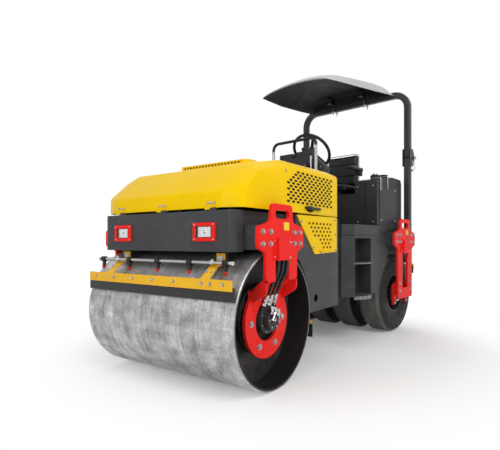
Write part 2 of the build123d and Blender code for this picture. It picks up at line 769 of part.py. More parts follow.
def steering_rod():
    """Piston rod with a fork over the steering arm and the pin through it, at its place when parked."""
    eye_x = PIVOT_X - ARM_RADIUS * math.sin(math.radians(STEER_AT_REST))
    web_x = eye_x + FORK_REACH
    shape = rod((ROD_END_X, CYLINDER_Y, CYLINDER_Z), (web_x + 10, CYLINDER_Y, CYLINDER_Z), ROD_R)
    shape += rod(
        (ROD_END_X, CYLINDER_Y, CYLINDER_Z), (ROD_END_X - 28, CYLINDER_Y, CYLINDER_Z), BARREL_BORE - RUNNING
    )
    half = ARM_HALF + FORK_GAP + FORK_PLATE
    shape += block((web_x, web_x + 18), (CYLINDER_Y - 28, CYLINDER_Y + 28), (CYLINDER_Z - half, CYLINDER_Z + half))
    for side in (1, -1):
        near = CYLINDER_Z + side * (ARM_HALF + FORK_GAP)
        leaf = Pos(eye_x, CYLINDER_Y) * Circle(FORK_EYE_R)
        leaf += outline(
            (eye_x, CYLINDER_Y - 28), (web_x + 1, CYLINDER_Y - 28), (web_x + 1, CYLINDER_Y + 28), (eye_x, CYLINDER_Y + 28)
        )
        shape += along_z(leaf, (near, near + side * FORK_PLATE))
    pin = Pos(eye_x, CYLINDER_Y) * Circle(ROD_PIN_R)
    return shape + along_z(pin, (CYLINDER_Z - half - 4, CYLINDER_Z + half + 4))


# --- rear frame ---------------------------------------------------------------
ARCH_R = TYRE_R + 50
STEP_BACK = -1670
STEP_DEPTH = 130
CORNER_CUT = 80
REAR_LOW_END = 680
HANGER_HALF = 18
BOSS_GAP = 5


def rear_section(x, z):
    return along_y(outline((x[0], z[0]), (x[1], z[0]), (x[1], z[1]), (x[0], z[1])), (-REAR_HALF, REAR_HALF))


def corner_cut_plan(x_front, x_rear, half):
    """Plan of a deck whose two front corners are cut off."""
    return outline(
        (x_front, -half + CORNER_CUT),
        (x_front, half - CORNER_CUT),
        (x_front - CORNER_CUT, half),
        (x_rear, half),
        (x_rear, -half),
        (x_front - CORNER_CUT, -half),
    )


def rear_chassis():
    """Box frame behind the pivot with step wells, the wheel arch and the middle axle hanger."""
    shape = along_z(corner_cut_plan(REAR_FRONT, TANK_REAR, REAR_HALF), (REAR_BOTTOM, DECK_BOTTOM))
    shape -= along_y(disc(REAR_AXLE_X, TYRE_R, ARCH_R), (-REAR_HALF - 1, REAR_HALF + 1))
    shape -= block((-3000, REAR_AXLE_X), (-700, 700), (0, REAR_LOW_END))
    for side in (1, -1):
        shape -= block(
            (STEP_BACK, REAR_FRONT - CORNER_CUT - 10),
            (side * (REAR_HALF - STEP_DEPTH), side * (REAR_HALF + 1)),
            (REAR_BOTTOM - 1, DECK_BOTTOM - 30),
        )
        for end in (1, -1):
            shape += block(
                [REAR_AXLE_X + end * x for x in CARRIER_X],
                (side * REAR_HALF, side * REAR_PLATE_Y),
                CARRIER_Z,
            )
    hanger = outline(
        (REAR_AXLE_X - 90, DECK_BOTTOM - 100),
        (REAR_AXLE_X + 90, DECK_BOTTOM - 100),
        (REAR_AXLE_X + 55, TYRE_R),
        (REAR_AXLE_X - 55, TYRE_R),
    ) + disc(REAR_AXLE_X, TYRE_R, 55)
    hanger -= disc(REAR_AXLE_X, TYRE_R, AXLE_R)
    shape += along_y(hanger, (-HANGER_HALF, HANGER_HALF))
    # Boss, trunnion and keeper disc that turn in the centre block's bore.
    rear_face, front_face = PIVOT_X - BLOCK_X_HALF, PIVOT_X + BLOCK_X_HALF
    keeper = front_face + BOSS_GAP
    shape += rod((REAR_FRONT - 1, 0, OSCILLATION_Z), (rear_face - BOSS_GAP, 0, OSCILLATION_Z), 70)
    shape += rod((REAR_FRONT, 0, OSCILLATION_Z), (keeper + 1, 0, OSCILLATION_Z), OSCILLATION_R)
    shape += rod((keeper, 0, OSCILLATION_Z), (keeper + 14, 0, OSCILLATION_Z), 62)
    return shape


AXLE_R = 30
STEP_TREADS = (725, 434)


def step_treads():
    treads = []
    for z in STEP_TREADS:
        treads.append(
            block(
                (STEP_BACK, REAR_FRONT - CORNER_CUT - 10),
                (REAR_HALF - STEP_DEPTH, REAR_HALF),
                (z - 6, z),
            )
        )
    return pair(group(*treads))


def platform():
    """Deck plate with a turned-down rim, in front of the tank."""
    rim = 10
    outer = along_z(corner_cut_plan(REAR_FRONT + 6, TANK_FRONT, REAR_HALF + 10), (DECK_BOTTOM, DECK_TOP))
    inner = along_z(corner_cut_plan(REAR_FRONT + 6 - rim, TANK_FRONT + 1, REAR_HALF), (DECK_BOTTOM - 1, DECK_TOP - rim))
    return outer - inner


# Top edge of the tank's side, as (x, z) from front to rear.
TANK_EDGE = ((TANK_FRONT, 1495), (-1950, 1528), (-2140, 1552), (-2300, 1548), (TANK_REAR, 1530))
SEAT_WELL_HALF = 370
SEAT_WELL_REAR = -2190
TANK_CORNER_X = -2350
TANK_REAR_HALF = 500


def tank():
    """Hollow-looking tank round the seat: two side boxes, a seat shelf between them and cut rear corners."""
    section = outline((TANK_FRONT, DECK_BOTTOM), *TANK_EDGE, (TANK_REAR, DECK_BOTTOM))
    shape = along_y(section, (-REAR_HALF, REAR_HALF))
    plan = outline(
        (TANK_FRONT + 1, REAR_HALF),
        (TANK_CORNER_X, REAR_HALF),
        (TANK_REAR - 1, TANK_REAR_HALF),
        (TANK_REAR - 1, -TANK_REAR_HALF),
        (TANK_CORNER_X, -REAR_HALF),
        (TANK_FRONT + 1, -REAR_HALF),
    )
    shape &= along_z(plan, (DECK_BOTTOM - 1, 1700))
    return shape - block((SEAT_WELL_REAR, TANK_FRONT + 1), (-SEAT_WELL_HALF, SEAT_WELL_HALF), (SHELF_TOP, 1700))


def tank_caps():
    made = []
    for x, radius, height in CAP_TABLE:
        neck = rod((x, CAP_Y, tank_top(x) - 5), (x, CAP_Y, tank_top(x) + height), radius)
        made.append(neck - tank())
    return group(*made)


def tank_top(x):
    """Height of the tank's top at a place along the machine."""
    for (x0, z0), (x1, z1) in zip(TANK_EDGE, TANK_EDGE[1:]):
        if x1 <= x <= x0:
            return z0 + (z1 - z0) * (x - x0) / (x1 - x0)


CAP_Y = 515
# Caps on the tank: place along the machine, radius, height.
CAP_TABLE = ((-1935, 40, 36), (-2120, 44, 30))


def tank_side_covers():
    return pair(block((-2215, -1850), (REAR_HALF, REAR_HALF + 5), (1095, 1440)))


# --- seat, console, handrail ---------------------------------------------------
SEAT_Y = 60
SEAT_HALF = 215
SEAT_FRONT = -1790
SEAT_BACK = -2140


def seat_base():
    return block((SEAT_BACK + 20, SEAT_FRONT - 20), (SEAT_Y - 150, SEAT_Y + 150), (SHELF_TOP, 1412))


def seat_cushion():
    cushion = block((SEAT_BACK, SEAT_FRONT), (SEAT_Y - SEAT_HALF, SEAT_Y + SEAT_HALF), (1412.3, 1492))
    return fillet(cushion.edges().filter_by(Axis.Z), 40)


def seat_back():
    back = block((-2160, -2085), (SEAT_Y - 190, SEAT_Y + 190), (1492.3, 1835))
    back = fillet(back.edges().filter_by(Axis.X), 50)
    return back


def console():
    """Steering console: a sloping box on the deck with the wheel's column on top."""
    section = outline((-1285, DECK_TOP), (-1285, 1640), (-1400, 1640), (-1460, 1540), (-1460, DECK_TOP))
    body = along_y(section, (-150, 150))
    column = rod(wheel_point(-COLUMN_LENGTH), wheel_point(HUB_LOW - SEAT_GAP), COLUMN_R)
    shaft = rod(wheel_point(-COLUMN_LENGTH), wheel_point(HUB_LOW + SHAFT_DEPTH), SHAFT_END_R)
    return body + column + shaft


WHEEL_CENTRE = (-1599, 0, 1810)
WHEEL_TILT = 43.4
WHEEL_RING_R = 190
WHEEL_GRIP_R = 15
HUB_R = 42
HUB_LOW = -11
HUB_HEIGHT = 30
COLUMN_LENGTH = 272
COLUMN_R = 28
SHAFT_END_R = 10
SHAFT_DEPTH = 18


def wheel_axis():
    """Which way the steering wheel's shaft points: up and back towards the seat."""
    tilt = math.radians(WHEEL_TILT)
    return Vector(-math.cos(tilt), 0, math.sin(tilt))


def wheel_point(along):
    """A point on the steering shaft's line, at a distance from the wheel's centre."""
    return Vector(*WHEEL_CENTRE) + wheel_axis() * along


def steering_wheel():
    plane = Plane(origin=WHEEL_CENTRE, z_dir=wheel_axis())
    ring = plane * Torus(WHEEL_RING_R, WHEEL_GRIP_R)
    hub = rod(wheel_point(HUB_LOW), wheel_point(HUB_LOW + HUB_HEIGHT), HUB_R)
    shape = ring + hub
    for turn in (90, 210, 330):
        spoke = Rot(0, 0, turn) * (Pos(WHEEL_RING_R / 2 + 10, 0, 0) * Box(WHEEL_RING_R - 20, 30, 10))
        shape += plane * spoke
    return shape - rod(wheel_point(HUB_LOW - 1), wheel_point(HUB_LOW + SHAFT_DEPTH + 1), SHAFT_END_R + RUNNING)


def handrail():
    """Bent guard rail between the console and the hood."""
    half = 245
    path = [(-1300, -half, DECK_TOP), (-1300, -half, 1860), (-1300, half, 1860), (-1300, half, DECK_TOP)]
    return pipe(path, 60, 14)


def control_lever():
    return rod((-1480, -260, DECK_TOP), (-1480, -260, 1560), 12) + Pos(-1480, -260, 1580) * Sphere(26)


# --- rear plates, carriers, axle and wheels -----------------------------------
REAR_SLOT = (65, 450, 800)


def rear_support_plates():
    face = rounded_plate(348, 30)
    half, low, high = REAR_SLOT
    face -= Pos(0, (low + high) / 2) * RectangleRounded(2 * half, high - low, 10)
    plate = Pos(REAR_AXLE_X, 0, 0) * along_y(face, (REAR_PLATE_Y, REAR_PLATE_Y + PLATE))
    return pair(group(plate, hose_cover(REAR_AXLE_X, REAR_PLATE_Y + PLATE)))


def rear_carriers():
    """Boxes from the plates' lower ends in to the wheel motors."""
    box = block((REAR_AXLE_X - 150, REAR_AXLE_X + 150), (REAR_HALF + 12, REAR_PLATE_Y), (315, 465))
    return pair(box)


def rear_axle():
    shapes = [rod((REAR_AXLE_X, -300, TYRE_R), (REAR_AXLE_X, 300, TYRE_R), AXLE_R)]
    inner = REAR_HALF - 80
    motor = rod((REAR_AXLE_X, inner, TYRE_R), (REAR_AXLE_X, REAR_HALF + 12, TYRE_R), 85)
    motor += rod((REAR_AXLE_X, inner - 110, TYRE_R), (REAR_AXLE_X, inner + 1, TYRE_R), AXLE_R)
    return group(*shapes, motor, across(motor))


TYRE_CENTRES = (TYRE_GAP / 2 + TYRE_WIDTH / 2, 1.5 * TYRE_GAP + 1.5 * TYRE_WIDTH)


def tyres(side):
    made = []
    for middle in TYRE_CENTRES:
        half = TYRE_WIDTH / 2
        section = outline(
            (RIM_R, -half + 22),
            (RIM_R + 60, -half),
            (TYRE_R - 70, -half),
            (TYRE_R - 22, -half + 12),
            (TYRE_R, -half + 45),
            (TYRE_R, half - 45),
            (TYRE_R - 22, half - 12),
            (TYRE_R - 70, half),
            (RIM_R + 60, half),
            (RIM_R, half - 22),
        )
        tyre = revolve(Plane.XY * section, Axis.Y)
        made.append(Pos(REAR_AXLE_X, side * middle, TYRE_R) * tyre)
    return group(*made)


def rims(side):
    """Two rims on one hub tube, which turns on the axle stubs."""
    hub = along_y(disc(REAR_AXLE_X, TYRE_R, 62), (HANGER_HALF + 10, REAR_HALF - 100))
    shape = hub
    for middle in TYRE_CENTRES:
        low, high = middle - TYRE_WIDTH / 2 + 22, middle + TYRE_WIDTH / 2 - 22
        barrel = along_y(disc(REAR_AXLE_X, TYRE_R, RIM_R) - disc(REAR_AXLE_X, TYRE_R, RIM_R - 12), (low, high))
        web = along_y(disc(REAR_AXLE_X, TYRE_R, RIM_R - 6), (middle - 40, middle - 28))
        shape += barrel + web
    shape -= along_y(disc(REAR_AXLE_X, TYRE_R, AXLE_R + RUNNING), (0, 600))
    return shape if side > 0 else across(shape)


REAR_SCRAPER_X = TANK_REAR - 88
REAR_BAR_Z = (612, 668)


def rear_scraper_bars():
    high = REAR_BAR_Z[1]
    bar = block((REAR_SCRAPER_X - SHEET, REAR_SCRAPER_X), (-REAR_HALF, REAR_HALF), REAR_BAR_Z)
    for side in (1, -1):
        arm = (side * 300, side * 340)
        bar += block((REAR_SCRAPER_X - 1, TANK_REAR), arm, (high - 18, high))
        bar += block((TANK_REAR - SHEET, TANK_REAR), arm, (high - 18, high + 92))
    return bar


def rear_scraper_blades():
    inner = REAR_SCRAPER_X + SEAT_GAP
    return block((inner, inner + SHEET), (-REAR_HALF, REAR_HALF), (REAR_BAR_Z[0] - 46, REAR_BAR_Z[0] + 28))


# --- roll bar -----------------------------------------------------------------
POST_Y = 637
POST_FOOT = DECK_BOTTOM + 34
POST_GAP = 10
CHEEK = 8


def square_tube(path, size, radius):
    """A square tube with rounded corners along a path."""
    start = Plane(origin=path @ 0, x_dir=(1, 0, 0), z_dir=path % 0)
    return sweep(start * RectangleRounded(size, size, radius), path=path)


def rops_lower_posts():
    post = along_z(
        Pos(HOOP_X, POST_Y) * RectangleRounded(HOOP_TUBE, HOOP_TUBE, 14), (POST_FOOT, FOLD_Z - POST_GAP / 2)
    )
    for side in (1, -1):
        inner = POST_Y + side * (HOOP_TUBE / 2)
        cheek = along_y(
            outline(
                (HOOP_X + 38, 1700),
                (HOOP_X + 38, 1880),
                (HOOP_X - 40, 1880),
                (FOLD_X - 26, 1815),
                (FOLD_X - 26, 1765),
                (HOOP_X - 40, 1700),
            ),
            (inner + side * 1.5, inner + side * (CHEEK + 1.5)),
        )
        post += cheek
        post += block(
            (HOOP_X - 30, HOOP_X + 30), (inner - side * 1, inner + side * 2), (1705, FOLD_Z - POST_GAP / 2 - 8)
        )
    post += rod((FOLD_X, POST_Y - 54, FOLD_Z), (FOLD_X, POST_Y + 54, FOLD_Z), 10)
    return pair(post)


HOOP_BEND = 150


def rops_hoop():
    """Upper hoop of the roll bar with its two hinge lugs."""
    low, top = FOLD_Z + POST_GAP / 2, HOOP_TOP - HOOP_TUBE / 2
    path = FilletPolyline(
        (HOOP_X, -POST_Y, low),
        (HOOP_X, -POST_Y, top),
        (HOOP_X, POST_Y, top),
        (HOOP_X, POST_Y, low),
        radius=HOOP_BEND,
    )
    shape = square_tube(path, HOOP_TUBE, 14)
    for side in (1, -1):
        lug = along_y(
            outline(
                (HOOP_X - HOOP_TUBE / 2 + 2, FOLD_Z + 60),
                (HOOP_X - HOOP_TUBE / 2 + 2, FOLD_Z + 6),
                (FOLD_X, FOLD_Z - 18),
                (FOLD_X - 18, FOLD_Z),
            )
            + disc(FOLD_X, FOLD_Z, 19)
            - disc(FOLD_X, FOLD_Z, 10 + RUNNING),
            (side * POST_Y - 20, side * POST_Y + 20),
        )
        shape += lug
    return shape


# Cross sections of the canopy: where along the machine, half width, rim height, crown above the rim.
CANOPY_SECTIONS = ((-1300, 390, 2345, 50), (-1560, 440, 2368, 104), (-1950, 485, 2398, 128), (-2395, 512, 2458, 96))
CANOPY_WALL = 10


def canopy_face(x, half, rim, crown, inset):
    """One cross section, a low arch over a flat line."""
    half, crown = half - inset, crown - inset
    arch = ThreePointArc((-half, rim), (0, rim + crown), (half, rim))
    base = Line((half, rim), (-half, rim))
    return Pos(x, 0, 0) * (Plane.YZ * make_face([arch, base]))


def canopy():
    """Moulded dome, open underneath."""
    outer = loft([canopy_face(*row, 0) for row in CANOPY_SECTIONS])
    return outer - canopy_void()


def canopy_void():
    """The space under the canopy's skin."""
    return Pos(0, 0, -0.5) * loft([canopy_face(*row, CANOPY_WALL) for row in CANOPY_SECTIONS])


def canopy_clamps():
    """Straps under the canopy, each held to the top bar by a U-bolt."""
    made = []
    for y in (-230, 160):
        low, high = HOOP_TOP + SEAT_GAP, HOOP_TOP + SEAT_GAP + 6
        strap = block((HOOP_X - 40, HOOP_X + 150), (y - 20, y + 20), (low, high))
        pad = block((HOOP_X + 110, HOOP_X + 150), (y - 20, y + 20), (high - 1, high + 100))
        made.append(strap + (pad & (Pos(0, 0, -SEAT_GAP) * canopy_void())))
    return group(*made)


FRONT = "front_frame"
REAR = "rear_frame"


def build():
    add("front_chassis", FRONT, front_chassis())
    add("pivot_pins", FRONT, pivot_pins())
    add("nose_panel", FRONT, nose_panel())
    add("lamp_frames", FRONT, lamp_frames())
    add("lamp_lenses", FRONT, lamp_lenses())
    add("front_support_plates", FRONT, front_support_plates())
    add("drum_brackets", FRONT, drum_brackets())
    add("rubber_buffers", FRONT, rubber_buffers())
    add("drum_motors", FRONT, drum_motors())
    add("hose_elbows", FRONT, hose_elbows())
    for side, label, starts in ((1, "left", HOSE_STARTS), (-1, "right", HOSE_STARTS[::2])):
        for n, (start_x, port_x) in enumerate(starts):
            add(f"{label}_drum_hose_{n + 1}", FRONT, hose(start_x, port_x, side))
    add("steering_barrel", FRONT, steering_barrel())
    add("steering_rod", "steering_rod", steering_rod())
    add("drum_scraper_bars", FRONT, drum_scraper_bars())
    add("drum_scraper_blades", FRONT, drum_scraper_blades())
    add("scraper_arms", FRONT, scraper_arms())
    add("spray_bar", FRONT, spray_bar())
    add("spray_nozzles", FRONT, spray_nozzles())
    add("lower_grille_panels", FRONT, lower_grille_panels())
    add("engine_block", FRONT, engine_block())
    add("drum_shell", "drum", drum_shell())
    add("drum_end_discs", "drum", drum_end_discs())
    add("hood_shell", "hood", hood_shell())
    add("hood_grilles", "hood", hood_grilles())
    add("hood_hinges", "hood", hood_hinges())
    add("hood_latches", "hood", hood_latches())
    add("pivot_block", "pivot_block", pivot_block())
    add("rear_chassis", REAR, rear_chassis())
    add("step_treads", REAR, step_treads())
    add("platform", REAR, platform())
    add("tank", REAR, tank())
    add("tank_caps", REAR, tank_caps())
    add("tank_side_covers", REAR, tank_side_covers())
    add("seat_base", REAR, seat_base())
    add("seat_cushion", REAR, seat_cushion())
    add("seat_back", REAR, seat_back())
    add("console", REAR, console())
    add("handrail", REAR, handrail())
    add("control_lever", REAR, control_lever())
    add("rear_support_plates", REAR, rear_support_plates())
    add("rear_carriers", REAR, rear_carriers())
    add("rear_axle", REAR, rear_axle())
    add("rops_lower_posts", REAR, rops_lower_posts())
    add("rear_scraper_bars", REAR, rear_scraper_bars())
    add("rear_scraper_blades", REAR, rear_scraper_blades())
    add("rops_hoop", "roll_bar", rops_hoop())
    add("canopy", "roll_bar", canopy())
    add("canopy_clamps", "roll_bar", canopy_clamps())
    add("left_rear_tyres", "left_rear_wheels", tyres(1))
    add("left_rear_rims", "left_rear_wheels", rims(1))
    add("right_rear_tyres", "right_rear_wheels", tyres(-1))
    add("right_rear_rims", "right_rear_wheels", rims(-1))
    add("steering_wheel", "steering_wheel", steering_wheel())


TURNED_BODIES = ("pivot_block", REAR, "roll_bar", "left_rear_wheels", "right_rear_wheels", "steering_wheel")


def placed(shape, spot):
    """A node's solids, each moved the same way."""
    solids = [spot * solid for solid in shape.solids()]
    return solids[0] if len(solids) == 1 else Compound(children=solids)


def park():
    """Turn everything behind the pivot to the parked steering angle."""
    turn = Pos(PIVOT_X, 0, 0) * Rot(0, 0, STEER_AT_REST) * Pos(-PIVOT_X, 0, 0)
    for body in TURNED_BODIES:
        for name in BODIES[body]:
            NODES[name] = placed(NODES[name], turn)


def base_point():
    """Bottom centre of the whole machine's box."""
    boxes = [shape.bounding_box() for shape in NODES.values()]
    low = [min(getattr(box.min, axis) for box in boxes) for axis in "XYZ"]
    high = [max(getattr(box.max, axis) for box in boxes) for axis in "XYZ"]
    return Vector((low[0] + high[0]) / 2, (low[1] + high[1]) / 2, low[2])


build()
park()
BASE = base_point()
os.makedirs("parts", exist_ok=True)
for name, shape in NODES.items():
    NODES[name] = placed(shape, Pos(-BASE))
    export_step(NODES[name], f"parts/{name}.step")
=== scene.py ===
import json
import math

import bmesh
import bpy
from mathutils import Matrix, Vector


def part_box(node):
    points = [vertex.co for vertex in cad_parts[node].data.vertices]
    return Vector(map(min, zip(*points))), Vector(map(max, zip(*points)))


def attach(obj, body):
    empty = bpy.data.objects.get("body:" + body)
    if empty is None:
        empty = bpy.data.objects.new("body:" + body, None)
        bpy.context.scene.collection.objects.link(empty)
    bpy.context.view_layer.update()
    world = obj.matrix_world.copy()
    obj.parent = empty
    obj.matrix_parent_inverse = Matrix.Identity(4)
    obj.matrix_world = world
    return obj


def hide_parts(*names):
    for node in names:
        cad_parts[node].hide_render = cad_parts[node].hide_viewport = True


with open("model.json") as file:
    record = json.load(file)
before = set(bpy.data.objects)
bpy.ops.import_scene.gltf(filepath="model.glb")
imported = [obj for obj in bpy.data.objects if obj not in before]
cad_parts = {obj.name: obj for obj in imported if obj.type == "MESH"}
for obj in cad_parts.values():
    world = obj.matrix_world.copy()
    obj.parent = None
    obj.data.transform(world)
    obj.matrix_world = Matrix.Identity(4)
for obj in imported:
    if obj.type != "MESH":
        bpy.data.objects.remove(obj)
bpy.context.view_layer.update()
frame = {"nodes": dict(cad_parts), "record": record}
NODES = frame["nodes"]

# --- places taken from the frame ---
SIDES = ((1, "left"), (-1, "right"))
DRUM_LOW, DRUM_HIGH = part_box("drum_shell")
DRUM = (DRUM_LOW + DRUM_HIGH) / 2
# Where the machine's own zero lies in the row's frame: under the drum's axle, on the ground.
ZERO = Vector((DRUM.x, DRUM.y, DRUM_LOW.z))
STEERED = math.radians(-5.76)
PIVOT_X = -1.125
AXLE_X, AXLE_Z = -2.25, 0.39

FRONT_PLACE = Matrix.Translation(ZERO)
# Turns straight-machine places on the rear frame to where they stand parked.
REAR_PLACE = (
    Matrix.Translation(ZERO + Vector((PIVOT_X, 0, 0)))
    @ Matrix.Rotation(STEERED, 4, "Z")
    @ Matrix.Translation((-PIVOT_X, 0, 0))
)


def place_of(body):
    """Carries what is drawn on the straight machine to where that body stands."""
    return FRONT_PLACE if body in ("front_frame", "hood") else REAR_PLACE


def link(name, data):
    obj = bpy.data.objects.new(name, data)
    bpy.context.scene.collection.objects.link(obj)
    return obj


# --- camera ---
IMAGE_WIDTH = 500
FOCAL = 426.225
SENSOR = 36.0
SHIFT_X = -0.0079
SHIFT_Y = 0.034
CAMERA_FROM_DRUM = Vector((2.2061, 2.0458, 0.4764))
CAMERA_YAW = 3.7597


def make_camera():
    data = bpy.data.cameras.new("camera")
    data.sensor_width = SENSOR
    data.lens = FOCAL / IMAGE_WIDTH * SENSOR
    data.shift_x = SHIFT_X
    data.shift_y = SHIFT_Y
    data.clip_end = 100
    obj = link("camera", data)
    obj.location = DRUM + CAMERA_FROM_DRUM
    obj.rotation_euler = (math.pi / 2, 0, CAMERA_YAW - math.pi / 2)
    bpy.context.scene.camera = obj


# --- shader helpers ---
WHITE = (1.0, 1.0, 1.0)
MATERIALS = {}


class Nodes:
    """Short ways to fill a node tree. A value is a number, a colour or another node's socket."""

    def __init__(self, tree):
        self.tree = tree

    def feed(self, socket, value):
        if isinstance(value, bpy.types.NodeSocket):
            self.tree.links.new(value, socket)
        else:
            socket.default_value = (*value, 1.0) if socket.type == "RGBA" else value

    def add(self, kind, inputs=None, **settings):
        made = self.tree.nodes.new("ShaderNode" + kind)
        for name, value in settings.items():
            setattr(made, name, value)
        for name, value in (inputs or {}).items():
            self.feed(made.inputs[name], value)
        return made

    def calc(self, operation, *values, clamp=False):
        return self.add("Math", dict(enumerate(values)), operation=operation, use_clamp=clamp).outputs[0]

    def weighed(self, *parts):
        """The sum of values, each times its weight."""
        level = None
        for value, weight in parts:
            part = self.calc("MULTIPLY", value, weight)
            level = self.calc("ADD", level, part) if level else part
        return level

    def waves(self, value, pitch):
        return self.calc("SINE", self.calc("MULTIPLY", value, pitch))

    def length(self, first, second):
        squares = [self.calc("POWER", value, 2.0) for value in (first, second)]
        return self.calc("SQRT", self.calc("ADD", *squares))

    def span(self, value, low, high, to_low=0, to_high=1, smooth=False):
        """A value carried from one range to another, held at its ends."""
        ranges = {"Value": value, "From Min": low, "From Max": high, "To Min": to_low, "To Max": to_high}
        made = self.add("MapRange", ranges, interpolation_type="SMOOTHSTEP" if smooth else "LINEAR")
        return made.outputs["Result"]

    def mix(self, share, first, second):
        """A colour between two."""
        return self.add("Mix", {0: share, 6: first, 7: second}, data_type="RGBA").outputs[2]

    def shaders(self, kind, share, first, second):
        """The tree's output, fed by a share of two shaders."""
        out = self.add("Output" + kind)
        both = self.add("MixShader", {0: share, 1: first.outputs[0], 2: second.outputs[0]})
        self.feed(out.inputs["Surface"], both.outputs[0])


class Look(Nodes):
    """A principled material: what is the same all over it, and its coordinates about an origin."""

    def __init__(self, name, metallic=0.0, coat=0.0, coat_rough=0.15, specular=0.5, origin=None, turn=0.0):
        made = MATERIALS[name] = bpy.data.materials.new(name)
        made.use_nodes = True
        super().__init__(made.node_tree)
        self.shader = self.tree.nodes["Principled BSDF"]
        self.shader.inputs["Metallic"].default_value = metallic
        self.shader.inputs["Coat Weight"].default_value = coat
        self.shader.inputs["Coat Roughness"].default_value = coat_rough
        self.shader.inputs["Specular IOR Level"].default_value = specular
        self.place = self.add("TexCoord").outputs["Object"]
        if origin is not None:
            about = {"Vector": self.place, "Location": tuple(origin), "Rotation": (0, 0, turn)}
            self.place = self.add("Mapping", about, vector_type="TEXTURE").outputs[0]

    def xyz(self, vector=None):
        return self.add("SeparateXYZ", {"Vector": vector or self.place}).outputs

    def radius(self):
        """How far a place is from the line across the machine through the origin."""
        parts = self.xyz()
        return self.length(parts["X"], parts["Z"])

    def noise(self, scale, detail=3.0, rough=0.5, stretch=None):
        place = self.place
        if stretch:
            place = self.add("Mapping", {"Vector": place, "Scale": stretch}).outputs[0]
        inputs = {"Vector": place, "Scale": scale, "Detail": detail, "Roughness": rough}
        return self.add("TexNoise", inputs).outputs["Fac"]

    def clouds(self, scale, detail, to_low=0, to_high=1, low=0.3, high=0.7):
        """A number that drifts between two."""
        return self.span(self.noise(scale, detail), low, high, to_low, to_high)

    def tinted(self, scale, detail, first, second, low=0.3, high=0.7):
        """A colour that drifts between two."""
        return self.mix(self.clouds(scale, detail, low=low, high=high), first, second)

    def cells(self, scale, feature="SMOOTH_F1"):
        made = self.add("TexVoronoi", {"Vector": self.place, "Scale": scale}, feature=feature)
        return made.outputs["Distance"]

    def ramp(self, value, first, last, stops):
        made = self.add("ValToRGB", {"Fac": value})
        elements = made.color_ramp.elements
        elements[0].color, elements[1].color = (*first, 1), (*last, 1)
        for position, colour in stops:
            elements.new(position).color = (*colour, 1)
        return made.outputs[0]

    def bump(self, height, strength, distance):
        return self.add("Bump", {"Height": height, "Strength": strength, "Distance": distance}).outputs[0]

    def finish(self, colour, roughness, normal=None):
        self.feed(self.shader.inputs["Base Color"], colour)
        self.feed(self.shader.inputs["Roughness"], roughness)
        if normal:
            self.feed(self.shader.inputs["Normal"], normal)


def shade(colour, factor):
    return tuple(channel * factor for channel in colour)


# --- materials ---
def paint(name, colour, dirt):
    """Gloss paint over sheet: slight orange peel, cloudy gloss and dust that gathers low down."""
    look = Look(name, coat=0.03, coat_rough=0.12, specular=0.06)
    base = look.tinted(2.2, 4, shade(colour, 0.94), colour, low=0.35)
    low_dust = look.span(look.xyz()["Z"], 0.2, 1.1, 0.10, 0.0)
    patchy = look.calc("MULTIPLY", low_dust, look.clouds(9, 5, 0.2, 1.6, 0.4, 0.75))
    peel = look.bump(look.noise(320, 1), 0.09, 0.0006)
    look.finish(look.mix(patchy, base, dirt), look.clouds(16, 3, 0.28, 0.4), peel)


def powder_coat(name, colour, rough, grain):
    """Satin dark coating with a fine grain."""
    look = Look(name, specular=0.25)
    base = look.tinted(3.1, 5, shade(colour, 0.82), shade(colour, 1.15), high=0.75)
    base = look.mix(look.clouds(14, 6, 0, 0.16, 0.55, 0.8), base, (0.16, 0.15, 0.14))
    gloss = look.clouds(7, 4, rough - 0.07, rough + 0.08)
    look.finish(base, gloss, look.bump(look.noise(grain, 2), 0.25, 0.0006))


def metal(name, colour, rough):
    """Bare metal with fine marks."""
    look = Look(name, metallic=1.0)
    marks = look.noise(60, 5)
    base = look.mix(look.span(marks, 0.3, 0.7), shade(colour, 0.72), colour)
    gloss = look.clouds(24, 4, rough - 0.08, rough + 0.12)
    look.finish(base, gloss, look.bump(marks, 0.15, 0.0004))


def drum_steel():
    """Rolled steel, mottled, with rubbed streaks that run round the drum, and painted shade inside: the inner
    face is near-black.
    """
    look = Look("drum_steel", metallic=0.75, origin=DRUM)
    streaks = look.noise(1.0, 5, 0.6, (1.1, 34, 1.1))
    fine = look.noise(1.0, 4, 0.6, (3.0, 210, 3.0))
    mottle = look.noise(9, 6, 0.62)
    speck = look.noise(70, 4, 0.6)
    scratches = look.noise(1.0, 5, 0.7, (30, 2.2, 30))
    level = look.weighed((streaks, 0.26), (mottle, 0.46), (fine, 0.14), (speck, 0.20), (scratches, 0.12))
    greys = ((0.3, 0.30), (0.6, 0.46), (0.82, 0.62))
    stops = [(position, shade((1, 0.99, 0.975), grey)) for position, grey in greys]
    worn = look.ramp(look.span(level, 0.44, 0.74), (0.16, 0.158, 0.155), (0.80, 0.80, 0.80), stops)
    # Painted shade: inside the shell the steel colour turns near-black, for the shade within the drum.
    outside = look.span(look.radius(), 0.420, 0.424)
    inner = look.mix(mottle, (0.020, 0.019, 0.018), (0.060, 0.057, 0.054))
    gloss = look.span(level, 0.45, 0.75, 0.55, 0.34)
    look.finish(look.mix(outside, inner, worn), gloss, look.bump(fine, 0.12, 0.0005))


def drum_inside():
    """The drum's end disc, with turned marks round the hub; its near-black colour is painted shade inside the
    drum.
    """
    look = Look("drum_inside", metallic=0.35, origin=DRUM)
    rings = look.waves(look.radius(), 900.0)
    # Painted shade: the disc's colour is near-black for the shade inside the drum.
    base = look.tinted(12, 6, (0.030, 0.029, 0.028), (0.085, 0.080, 0.075), 0.35, 0.75)
    look.finish(base, look.clouds(30, 3, 0.38, 0.6), look.bump(rings, 0.08, 0.0004))


